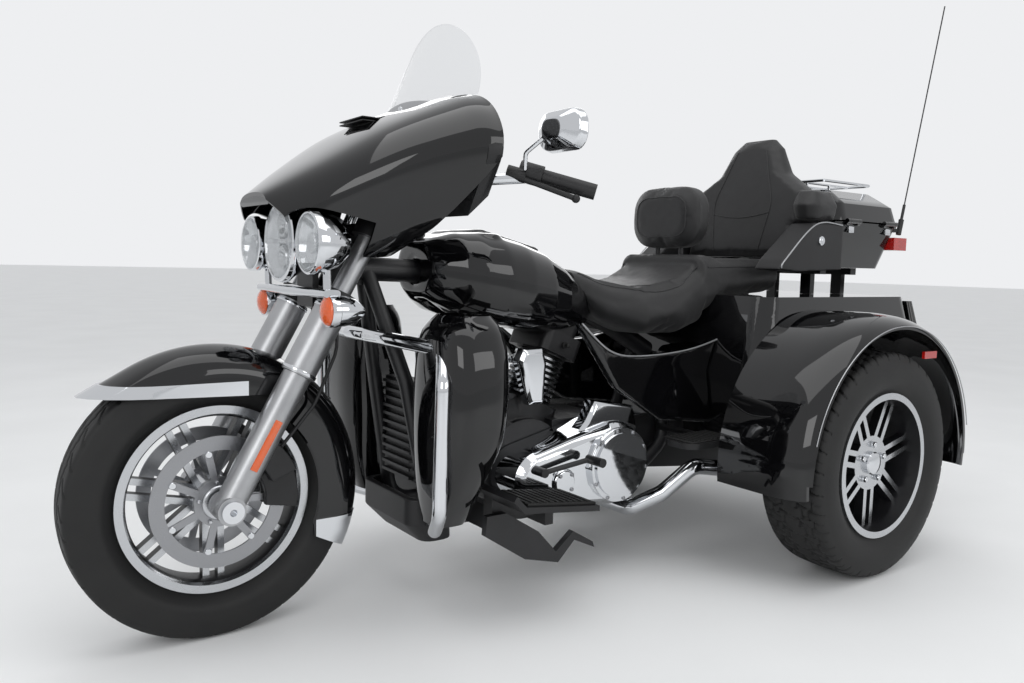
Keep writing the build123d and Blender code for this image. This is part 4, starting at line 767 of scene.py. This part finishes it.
# Front end
def rounded(points, times):
    """Corner cutting: every side of a closed outline keeps its middle half, a number of times."""
    points = np.asarray(points, float)
    for _ in range(times):
        after = np.roll(points, -1, axis=0)
        points = np.stack([0.75 * points + 0.25 * after, 0.25 * points + 0.75 * after], 1).reshape(-1, 2)
    return points


FAIRING_ROWS = [
    (1572, 62, 1014, 114, 930, 62, 822),
    (1470, 125, 1088, 235, 985, 120, 812),
    (1330, 190, 1182, 335, 1060, 190, 835),
    (1200, 226, 1246, 392, 1108, 265, 905),
    (1142, 236, 1266, 405, 1115, 300, 948),
]
FAIRING_BACK = [(1080, 1120), (1136, 1110), (1249, 940), (1336, 850), (1380, 780), (1080, 780)]
FAIRING_FRONT = [(1640, 1012), (1574, 996), (1436, 790), (1640, 790)]
LAMP_X, LAMP_Y, LAMP_Z, LAMP_R = 1516.0, 187.0, 900.0, 70.0


def fairing_grid(shrink):
    """Rings through the smoothed rows, each an octagon of brow, tip and chin with its corners cut."""
    rings = []
    for x, top, top_z, tip, tip_z, low, low_z in smooth(FAIRING_ROWS, 64):
        brow, brow_z = top + 0.70 * (tip - top), tip_z + 0.70 * (top_z - tip_z)
        half = [(low, low_z), (tip, tip_z), (brow, brow_z), (top, top_z)]
        ring = rounded([*half, *[(-y, z) for y, z in reversed(half)]], 3)
        middle = ring.mean(axis=0)
        reach = np.linalg.norm(ring - middle, axis=1, keepdims=True)
        ring = middle + (ring - middle) * (1 - shrink / reach)
        rings.append(np.column_stack([np.full(len(ring), x), ring]))
    return np.array(rings)


outer, inner = fairing_grid(0), fairing_grid(6.0)
inner[0, :, 0] -= 6.0
shell = skin(np.concatenate([outer, inner[::-1]]))
lamp_holes = [
    tube([(1380, s * LAMP_Y, LAMP_Z), (1560, s * LAMP_Y, LAMP_Z)], LAMP_R + 6, 64)
    for s in (1, -1)
]
slot_hole = lofted("x", [(1230, 0, 1208, 150, 22), (1380, 0, 1196, 150, 22)], 6, 4.0, 48)
piece(
    "fairing_shell",
    shell,
    PAINT,
    "steering",
    ["fairing"],
    cuts=[
        prism(FAIRING_FRONT, -300, 300),
        prism(FAIRING_BACK, -450, 450),
        slab((1100, -182, 780), (1480, 182, 932)),
        *lamp_holes,
        slot_hole,
    ],
    sharp=38,
)
SCREEN_LEAN, SCREEN_BEND = math.radians(24), 420.0
SCREEN_BASE = np.array([1196.0, 0.0, 1236.0])
SCREEN_UP = np.array([-math.sin(SCREEN_LEAN), 0, math.cos(SCREEN_LEAN)])
SCREEN_AHEAD = np.array([math.cos(SCREEN_LEAN), 0, math.sin(SCREEN_LEAN)])


def on_screen(turn, high, out=0.0):
    """A place on the windshield: turn degrees round its curve, high millimetres up and out of it."""
    a = math.radians(turn)
    level = SCREEN_AHEAD * math.cos(a) + np.array([0, math.sin(a), 0])
    return SCREEN_BASE - SCREEN_AHEAD * SCREEN_BEND + level * (SCREEN_BEND + out) + SCREEN_UP * high


strip = np.array(
    [
        [
            on_screen(t, h, o)
            for h, o in (
                (-6, 0.6),
                (-6, 3.6),
                (24 - 0.008 * t * t, 4.2),
                (30 - 0.012 * t * t, 3.2),
                (30 - 0.012 * t * t, 0.6),
            )
        ]
        for t in np.linspace(-29, 29, 41)
    ]
)
piece("screen_base_strip", skin(strip), SLIDER, "steering", bevel=0.8)
screws = [
    turned([(0, 7), (2.5, 6.5), (4, 4), (4.3, 0.5)], on_screen(t, 12, 4.0), SCREEN_AHEAD, 24)
    for t in (-22, 0, 22)
]
piece("screen_screws", merged(*screws), CHROME, "steering")
louvres = [slab((1246, -66, z), (1330, 66, z + 3)) for z in (1197, 1205)]
piece(
    "fairing_air_slot",
    merged(slab((1240, -74, 1190), (1262, 74, 1216)), *louvres),
    PLASTIC,
    "steering",
    bevel=0.6,
)


def round_lamp(name, place, radius, depth, tail, stands, glass, insides=()):
    """Bowl, rim and hollow reflector as one surface of revolution about x, with a domed lens over it."""
    bowl = [
        (-depth, 0.5),
        (-depth, tail),
        (-0.72 * depth, 0.78 * radius),
        (-0.42 * depth, 0.91 * radius),
        (-20, 0.94 * radius),
        (-18, radius),
        (-9, radius),
        (-2, 0.985 * radius),
        (0.5, 0.95 * radius),
        (0, 0.90 * radius),
        (-5, 0.875 * radius),
        (-0.26 * depth, 0.70 * radius),
        (-0.42 * depth, 0.42 * radius),
        (-0.46 * depth, 0.5),
    ]
    piece(name + "_bowl", turned(bowl, place, (1, 0, 0), 72), CHROME, "steering", stands)
    dome = [
        (-3, 0.5 * radius),
        (-3, 0.86 * radius),
        (0.5, 0.89 * radius),
        (5, 0.82 * radius),
        (10, 0.6 * radius),
        (13.5, 0.3 * radius),
        (14.5, 0.5),
    ]
    cup = [(11.5, 0.5), (10.5, 0.3 * radius), (7, 0.6 * radius), (2, 0.78 * radius), (-3, 0.8 * radius)]
    piece(name + "_lens", turned([*cup, *dome[1:]], place, (1, 0, 0), 72), glass, "steering")
    if insides:
        piece(name + "_modules", merged(*insides), BRIGHT, "steering", bevel=0.6)


head = np.array([1512.0, 0.0, 905.0])
modules = [
    turned(
        [(-46, 26), (-14, 30), (-8, 27), (-9, 22), (-20, 14), (-21, 0.5)], head + [0, 0, dz], (1, 0, 0), 48
    )
    for dz in (38, -38)
]
modules += [slab(head + [-40, s * 30 - 4, -60], head + [-14, s * 30 + 4, 60]) for s in (-1, 1)]
modules += [slab(head + [-40, -62, -5], head + [-10, 62, 5])]
round_lamp("headlamp", head, 97, 65.7, 60, ["headlamp"], LENS, modules)
for side, word in SIDES:
    place = np.array([LAMP_X, side * LAMP_Y, LAMP_Z])
    beam = [turned([(-34, 20), (-12, 24), (-8, 22), (-16, 10), (-17, 0.5)], place, (1, 0, 0), 40)]
    round_lamp("passing_lamp_" + word, place, LAMP_R, 88, 34, [], LENS, beam)
    round_lamp("turn_signal_" + word, np.array([1476.0, side * 206, 752.0]), 37, 84, 14, [], ORANGE)
bar = lofted(
    "y", [(-215, 1469, 790, 40, 18), (0, 1469.6, 790, 46, 26), (215, 1469, 790, 40, 18)], 24, 3.2, 40
)
stems = [tube([(1468, s * LAMP_Y, 790), (1470, s * LAMP_Y, 850)], 9) for s in (1, -1)]
stems += [tube([(1462, s * 206, 786), (1462, s * 206, 750)], 8) for s in (1, -1)]
piece("lamp_bar", merged(bar, *stems), CHROME, "steering", ["front_lamps"])

FENDER_SECTION = [(1.0, 112.0), (1.0, 64.0), (0.95, 40.0), (0.80, 18.0), (0.50, 3.0), (0.0, -7.0)]
FENDER_CUT = [(2100, 566), (1900, 566), (1560, 556), (1500, 470), (1462, 330), (1448, 140), (2100, 140)]


def fender_section(half, radius):
    """Curve across a fender, from one skirt's edge over the crown to the other's."""
    side = [(k * half, radius - drop) for k, drop in FENDER_SECTION]
    return smooth([*side, *[(-y, r) for y, r in reversed(side[:-1])]], 45)


section = np.concatenate([fender_section(82, 344), fender_section(78, 340)[::-1]])
rows = []
skirt = [(slip, 60.0) for slip in np.linspace(124, 0, 9)[:-1]]
arc = [(0, degrees) for degrees in np.linspace(60, 207, 72)]
for slip, degrees in skirt + arc:
    a = math.radians(degrees)
    x = FRONT_X + section[:, 1] * math.cos(a) + slip * math.sin(a)
    z = FRONT_R + section[:, 1] * math.sin(a) - slip * math.cos(a)
    rows.append(np.column_stack([x, section[:, 0], z]))
piece(
    "front_fender_skin",
    skin(np.array(rows), bridged=True),
    PAINT,
    "steering",
    ["front_fender"],
    cuts=[prism(FENDER_CUT, -150, 150)],
    sharp=38,
)


# Reflectors and rings on the fork legs
RAKE = math.radians(29)


def fork_place(along, side, ahead=0.0, out=0.0):
    """A place beside the fork leg's line, along it from the axle."""
    x = FRONT_X - along * math.sin(RAKE) + ahead * math.cos(RAKE)
    z = FRONT_R + along * math.cos(RAKE) + ahead * math.sin(RAKE)
    return np.array([x, side * (122 + out), z])


for side, word in SIDES:
    rows = [
        [fork_place(a, side, b, c) for b, c in ((-9, 31.0), (9, 31.0), (8, 36.0), (-8, 36.0))]
        for a in np.linspace(96, 216, 5)
    ]
    piece("fork_reflector_" + word, skin(np.array(rows)), ORANGE, "steering", bevel=1.2)
    rings = [
        turned([(-4, 41.5), (4, 41.5)], fork_place(a, side), (-math.sin(RAKE), 0, math.cos(RAKE)), 48)
        for a in (334, 492)
    ]
    piece("fork_rings_" + word, merged(*rings), CHROME, "steering", bevel=0.8)


# Bodywork
LOWER_ROWS = [
    (232, 1172, 205, 86, 110),
    (330, 1180, 240, 124, 180),
    (470, 1168, 262, 176, 240),
    (620, 1162, 262, 180, 236),
    (700, 1158, 256, 164, 196),
    (742, 1150, 248, 110, 130),
]
GUARD = [
    (1278, 110, 676),
    (1226, 286, 664),
    (1256, 336, 590),
    (1256, 330, 290),
    (1222, 252, 226),
    (1152, 120, 212),
]
CRADLE = [(1288, 12, 836), (1215, 88, 560), (1150, 112, 205), (520, 122, 190)]
for side, word in SIDES:
    rows = [(z, x, side * y, wide, high) for z, x, y, wide, high in LOWER_ROWS]
    groove = bent([(x, side * y, z) for x, y, z in GUARD], 45)
    down = bent([(x, side * y, z) for x, y, z in CRADLE], 70)
    piece(
        "leg_shield_" + word,
        lofted("z", rows, 56, 3.0, 80),
        PAINT,
        "chassis",
        ["lower_fairings"],
        cuts=[tube(groove, 17.6), tube(down, 19.6)],
        sharp=38,
    )
    seam = smooth(
        [
            (1262, side * 300, 468),
            (1240, side * 342, 468),
            (1168, side * 354, 470),
            (1100, side * 342, 470),
            (1076, side * 300, 468),
        ],
        40,
    )
    piece("leg_shield_seam_" + word, tube(seam, 1.6, 8), PLASTIC, "chassis")

for name, voxel, passes in (
    ("fuel_tank", 5.0, 14),
    ("side_covers", 4.5, 8),
    ("horn_cover", 2.5, 8),
    ("chin_spoiler", 3.0, 4),
    ("mirrors", 2.2, 6),
    ("armrests", 4.0, 12),
    ("front_calipers", 2.2, 4),
):
    softened(name, voxel, passes)

# Rear fenders: centre, radius, outer face and wall. Each row of the section: inset from the outer
# face, drop below the crown.
FENDER_X, FENDER_R, FENDER_OUT, FENDER_WALL = -30.0, 428.0, 705.0, 6.0
STRIPE_R, STRIPE_INSET = 395, 23.5
REAR_SECTION = [
    (305.0, 1.0), (215.0, 0.0), (120.0, 2.0), (58.0, 14.0), (20.0, 42.0), (0.0, 92.0), (0.0, 188.0)
]
outer = smooth([(FENDER_OUT - inset, FENDER_R - drop) for inset, drop in REAR_SECTION], 60)
DEEP = REAR_SECTION[0][0]
inner = smooth(
    [
        (FENDER_OUT - FENDER_WALL - inset * (DEEP - FENDER_WALL) / DEEP, FENDER_R - FENDER_WALL - drop)
        for inset, drop in REAR_SECTION
    ],
    60,
)
section = np.concatenate([outer, inner[::-1]])
for side, word in SIDES:
    rows = []
    for a in np.radians(np.linspace(-7, 187, 110)):
        rows.append(
            np.column_stack(
                [
                    FENDER_X + section[:, 1] * math.cos(a),
                    side * section[:, 0],
                    REAR_R + section[:, 1] * math.sin(a),
                ],
            ),
        )
    arch = turned([(-30, 408), (14, 408)], (-48, side * FENDER_OUT, REAR_R - 10), (0, side, 0), 128)
    low, high = sorted((side * (FENDER_OUT - 34), side * (FENDER_OUT + 12)))
    piece(
        "rear_fender_skin_" + word,
        skin(np.array(rows), bridged=True),
        PAINT,
        "chassis",
        ["rear_fenders"],
        cuts=[arch, slab((-470, low, 60), (440, high, REAR_R - 9))],
        sharp=38,
    )


# Trim lines, locks, hinges and latches on the body
def bead(name, points, radius, count=40):
    """Thin silver moulding along a smooth curve through the points."""
    piece(name, tube(smooth(points, count), radius, 10), SLIDER, "chassis")


for side, word in SIDES:
    y = side * 237.0
    bead(
        "side_cover_edge_" + word,
        [(770, y, 712), (665, y, 634), (550, y, 615), (347, y, 627), (150, y, 674)],
        2.6,
    )
    bead("side_cover_rear_edge_" + word, [(150, y, 674), (172, y, 560), (205, y, 400)], 2.2)
    low = side * 323.5
    bead("pod_edge_" + word, [(56, low, 872), (36, low, 900), (-108, low, 1012), (-250, low, 1016)], 2.2)
    lock = merged(
        turned([(0, 15), (5, 15), (7, 12), (7, 0.5)], (-140, side * 321, 962), (0, side, 0), 32),
        slab((-143, min(side * 321, side * 329), 955), (-137, max(side * 321, side * 329), 969)),
    )
    piece("pod_lock_" + word, lock, CHROME, "chassis", bevel=0.5)
    turns = np.radians(np.linspace(14, 168, 30))
    y = side * (FENDER_OUT - STRIPE_INSET)
    stripe = [(FENDER_X + STRIPE_R * math.cos(a), y, REAR_R + STRIPE_R * math.sin(a)) for a in turns]
    bead("fender_stripe_" + word, stripe, 1.5, 90)
for x in (-560, -340):
    piece(
        "box_hinge_plate_%d" % -x,
        slab((x - 15, 290, 996), (x + 15, 299, 1018)),
        CHROME,
        "chassis",
        bevel=2.0,
    )
for x in (-560, -340):
    piece(
        "box_latch_%d" % -x,
        merged(
            slab((x - 16, -303, 990), (x + 16, -292, 1026)),
            slab((x - 12, -306, 1004), (x + 12, -296, 1016)),
        ),
        CHROME,
        "chassis",
        bevel=1.5,
    )


# Soft pieces
def cushion(node, pressure=4.0, cap=8, voxel=5.0, shrink=3.0):
    """The node's solid as a stuffed cover: it is remeshed, moved inwards along its normals by shrink
    millimetres, blown up as cloth under a pressure, no point moving more than cap millimetres, and
    then smoothed."""
    made = copied(node)
    step = made.modifiers.new("remesh", "REMESH")
    step.mode, step.voxel_size = "VOXEL", voxel * MM
    step = made.modifiers.new("smooth", "SMOOTH")
    step.factor, step.iterations = 0.5, 10
    step = made.modifiers.new("shrink", "DISPLACE")
    step.strength, step.mid_level = -shrink * MM, 0.0
    applied(made)
    count = len(made.data.vertices)
    start = np.empty(count * 3)
    made.data.vertices.foreach_get("co", start)
    cloth = made.modifiers.new("cloth", "CLOTH")
    cloth.settings.quality = 4
    cloth.settings.use_pressure = True
    cloth.settings.uniform_pressure_force = pressure
    cloth.settings.effector_weights.gravity = 0
    cloth.settings.tension_stiffness = 20
    cloth.settings.bending_stiffness = 2
    for step in range(1, 21):
        bpy.context.scene.frame_set(step)
    applied(made)
    end = np.empty(count * 3)
    made.data.vertices.foreach_get("co", end)
    move = (end - start).reshape(-1, 3)
    size = np.linalg.norm(move, axis=1, keepdims=True)
    move *= np.minimum(1, cap * MM / np.maximum(size, 1e-9))
    made.data.vertices.foreach_set("co", (start.reshape(-1, 3) + move).ravel())
    bpy.context.scene.frame_set(1)
    low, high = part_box(node)
    place = np.empty(len(made.data.vertices) * 3)
    made.data.vertices.foreach_get("co", place)
    place = np.clip(place.reshape(-1, 3), np.array(low), np.array(high))
    made.data.vertices.foreach_set("co", place.ravel())
    step = made.modifiers.new("smooth", "SMOOTH")
    step.factor, step.iterations = 0.5, 3
    applied(made)
    dressed(made, VINYL, BODY_OF[node], [node], ROUND_BELOW)
    return made


def welt(name, made, points, count=70, radius=1.9):
    """Sewn welt: a thin cord along a smooth curve dropped on to the nearest places of a cushion."""
    path = []
    for x, y, z in smooth(points, count):
        _, place, normal, _ = made.closest_point_on_mesh(Vector(at(x, y, z)))
        path.append((np.array(place) - [REAR_X, 0, 0]) / MM + np.array(normal) * 0.3)
    piece(name, tube(path, radius, 8), VINYL, "chassis")


saddle, rider_pad, passenger_pad = (
    cushion(node) for node in ("seat", "rider_backrest", "passenger_backrest")
)
dish = [(640, 60, 850), (540, 128, 830), (430, 176, 810), (330, 190, 840), (268, 170, 880)]
for side, word in SIDES:
    welt("saddle_side_welt_" + word, saddle, [(x, side * y, z) for x, y, z in dish])
    rear = [(225, 188, 870), (140, 190, 880), (30, 190, 884), (-90, 186, 886)]
    welt("saddle_rear_welt_" + word, saddle, [(x, side * y, z) for x, y, z in rear])
    rise = [(-110, 96, 930), (-112, 110, 1010), (-130, 120, 1100), (-160, 90, 1190), (-176, 60, 1280)]
    welt("backrest_welt_" + word, passenger_pad, [(x, side * y, z) for x, y, z in rise])
welt(
    "saddle_cross_welt",
    saddle,
    [(278, -170, 890), (262, -90, 905), (256, 0, 910), (262, 90, 905), (278, 170, 890)],
)
welt(
    "saddle_dish_welt",
    saddle,
    [(430, -150, 830), (470, -70, 806), (482, 0, 800), (470, 70, 806), (430, 150, 830)],
)
welt(
    "backrest_cross_welt",
    passenger_pad,
    [(-130, -118, 1060), (-124, -60, 1050), (-122, 0, 1046), (-124, 60, 1050), (-130, 118, 1060)],
)
ring = [(270, *p) for p in (np.array([0, 1026]) + oval(112, 70, 3.4, 28))]
welt("rider_backrest_welt", rider_pad, [*ring, ring[0]], 110)


# Engine and the rest of the frame's nodes
made = polished("cylinders", 30)
LEAN, CRANK = math.radians(22.5), np.array([850.0, 0.0, 300.0])


def fin_edges(centres, normals):
    """True on the rims of the fins, which are machined bright."""
    out = centres - CRANK
    lean = np.where(out[:, 0] > 0, LEAN, -LEAN)
    along = out[:, 0] * np.sin(lean) + out[:, 2] * np.cos(lean)
    facing = abs(normals[:, 0] * np.sin(lean) + normals[:, 2] * np.cos(lean))
    from_axis = np.hypot(out[:, 0] * np.cos(lean) - out[:, 2] * np.sin(lean), out[:, 1])
    return (facing < 0.2) & (along < 330) & (from_axis > 70)


second_finish(made, BRIGHT, fin_edges)
for name in frame["nodes"]:
    if name not in REPLACED:
        polished(name, 32)

# Bolts, rubbers and spark plug caps
heads = [*ring_places(634, 318, 259.5, 97, 10, 9), *ring_places(826, 292, 257.5, 28, 4, 45)]
piece(
    "primary_bolts",
    merged(*[turned([(0, 5.5), (3, 5.2), (4.5, 3), (4.6, 0.5)], p, (0, 1, 0), 20) for p in heads]),
    STEEL,
    "chassis",
)
for side, word in SIDES:
    low, high = sorted((side * 270, side * 412))
    ribs = []
    for x in np.arange(868, 1060, 19.0):
        z = 276 + (x - 850) * 28 / 224
        ribs.append(
            prism([(x, z + 5), (x + 11, z + 6.4), (x + 11, z + 11), (x, z + 9.6)], low + 8, high - 8)
        )
    mat = prism([(856, 277), (1066, 303.3), (1066, 309.5), (856, 283.5)], low, high)
    piece("footboard_rubber_" + word, merged(mat, *ribs), TYRE, "chassis", bevel=1.0)
    low, high = sorted((side * 276, side * 384))
    ribs = [slab((x, low + 6, 386), (x + 9, high - 6, 390)) for x in np.arange(318, 478, 18.0)]
    piece(
        "passenger_rubber_" + word,
        merged(slab((312, low, 384.3), (488, high, 387)), *ribs),
        TYRE,
        "chassis",
        bevel=1.0,
    )
for lean, word in ((LEAN, "front"), (-LEAN, "rear")):
    axis = np.array([math.sin(lean), 0, math.cos(lean)])
    ahead = np.array([math.cos(lean), 0, -math.sin(lean)])
    top = CRANK + axis * (335 + 62 + 40)
    places = [top + ahead * a + np.array([0, b, 0]) for a in (-44, 44) for b in (-58, 58)]
    piece(
        "rocker_bolts_" + word,
        merged(*[turned([(-1, 7), (6, 7), (8, 5), (8, 0.5)], p, axis, 24) for p in places]),
        CHROME,
        "chassis",
    )
    cap = [(-2, 9), (8, 9), (10, 7), (22, 6), (24, 3), (24, 0.5)]
    plug = turned(cap, CRANK + axis * 366 + [0, 89, 0], (0, 1, 0), 24)
    piece("spark_cap_" + word, plug, TYRE, "chassis")


# Camera, floor and light. FOCAL is the photograph's focal length in pixels.
FOCAL, PHOTO_WIDE = 837, 1024


def photo_camera():
    """Camera solved from the photograph: place, yaw, pitch, roll and focal length."""
    place = at(2215, 1931, 866)
    yaw, pitch, roll = (math.radians(a) for a in (-125.69, 5.32, 1.43))
    ahead = np.array([math.cos(yaw) * math.cos(pitch), math.sin(yaw) * math.cos(pitch), -math.sin(pitch)])
    right = np.cross(ahead, [0, 0, 1])
    right /= np.linalg.norm(right)
    up = np.cross(right, ahead)
    across = math.cos(roll) * right + math.sin(roll) * up
    upward = -math.sin(roll) * right + math.cos(roll) * up
    data = bpy.data.cameras.new("camera")
    data.sensor_width = 36
    data.lens = 36 * FOCAL / PHOTO_WIDE
    made = bpy.data.objects.new("camera", data)
    bpy.context.scene.collection.objects.link(made)
    columns = np.array([across, upward, -ahead]).T
    made.matrix_world = Matrix.Translation(Vector(place)) @ Matrix(columns.tolist()).to_4x4()
    bpy.context.scene.camera = made


def studio():
    """Pale floor, pale surroundings and large soft lamps."""
    made, tree = blank("pale_studio_floor")
    scuffs = noise(tree, 600, 4)
    colour = ramp(tree, scuffs.outputs["Fac"], [(0.3, linear("eeefef")), (0.8, linear("f4f5f5"))])
    finish(made, tree, [("Base Color", colour), ("Roughness", 0.55)])
    mesh = bpy.data.meshes.new("studio_floor")
    half = 60.0
    mesh.from_pydata(
        [(-half, -half, 0), (half, -half, 0), (half, half, 0), (-half, half, 0)], [], [(0, 1, 2, 3)]
    )
    mesh.materials.append(made)
    floor = bpy.data.objects.new("studio_floor", mesh)
    bpy.context.scene.collection.objects.link(floor)
    world = bpy.data.worlds.new("studio")
    world.use_nodes = True
    tree = world.node_tree
    tree.nodes.clear()
    rays = add(tree, "LightPath")
    seen = add(
        tree,
        "Math",
        [(0, rays.outputs["Is Camera Ray"]), (1, rays.outputs["Is Transmission Ray"])],
        operation="MAXIMUM",
    )
    soft = add(tree, "Background", [("Color", linear("f2f3f5")), ("Strength", 0.8)])
    plain = add(tree, "Background", [("Color", linear("eeeff1")), ("Strength", 1.0)])
    both = add(tree, "MixShader", [(0, seen.outputs[0]), (1, soft.outputs[0]), (2, plain.outputs[0])])
    add(tree, "OutputWorld", [("Surface", both.outputs[0])])
    bpy.context.scene.world = world
    lamps = [
        ("overhead", (0.4, 0.6, 3.4), (0.0, 0.0, 0.4), 3.6, 2.4, 34),
        ("front_left", (3.6, 2.6, 2.2), (0.3, 0.2, 0.6), 1.8, 1.8, 26),
        ("left_side", (-1.2, 4.2, 2.0), (-0.3, 0.0, 0.5), 2.6, 1.6, 26),
        ("right_back", (-2.2, -3.4, 2.4), (0.0, 0.0, 0.6), 2.4, 1.6, 20),
    ]
    for name, place, target, wide, high, power in lamps:
        data = bpy.data.lights.new(name, "AREA")
        data.shape, data.size, data.size_y, data.energy = "RECTANGLE", wide, high, power
        lamp = bpy.data.objects.new(name, data)
        bpy.context.scene.collection.objects.link(lamp)
        aim = (Vector(target) - Vector(place)).to_track_quat("-Z", "Y").to_matrix().to_4x4()
        lamp.matrix_world = Matrix.Translation(place) @ aim


photo_camera()
studio()
bpy.context.scene.view_settings.view_transform = "Standard"
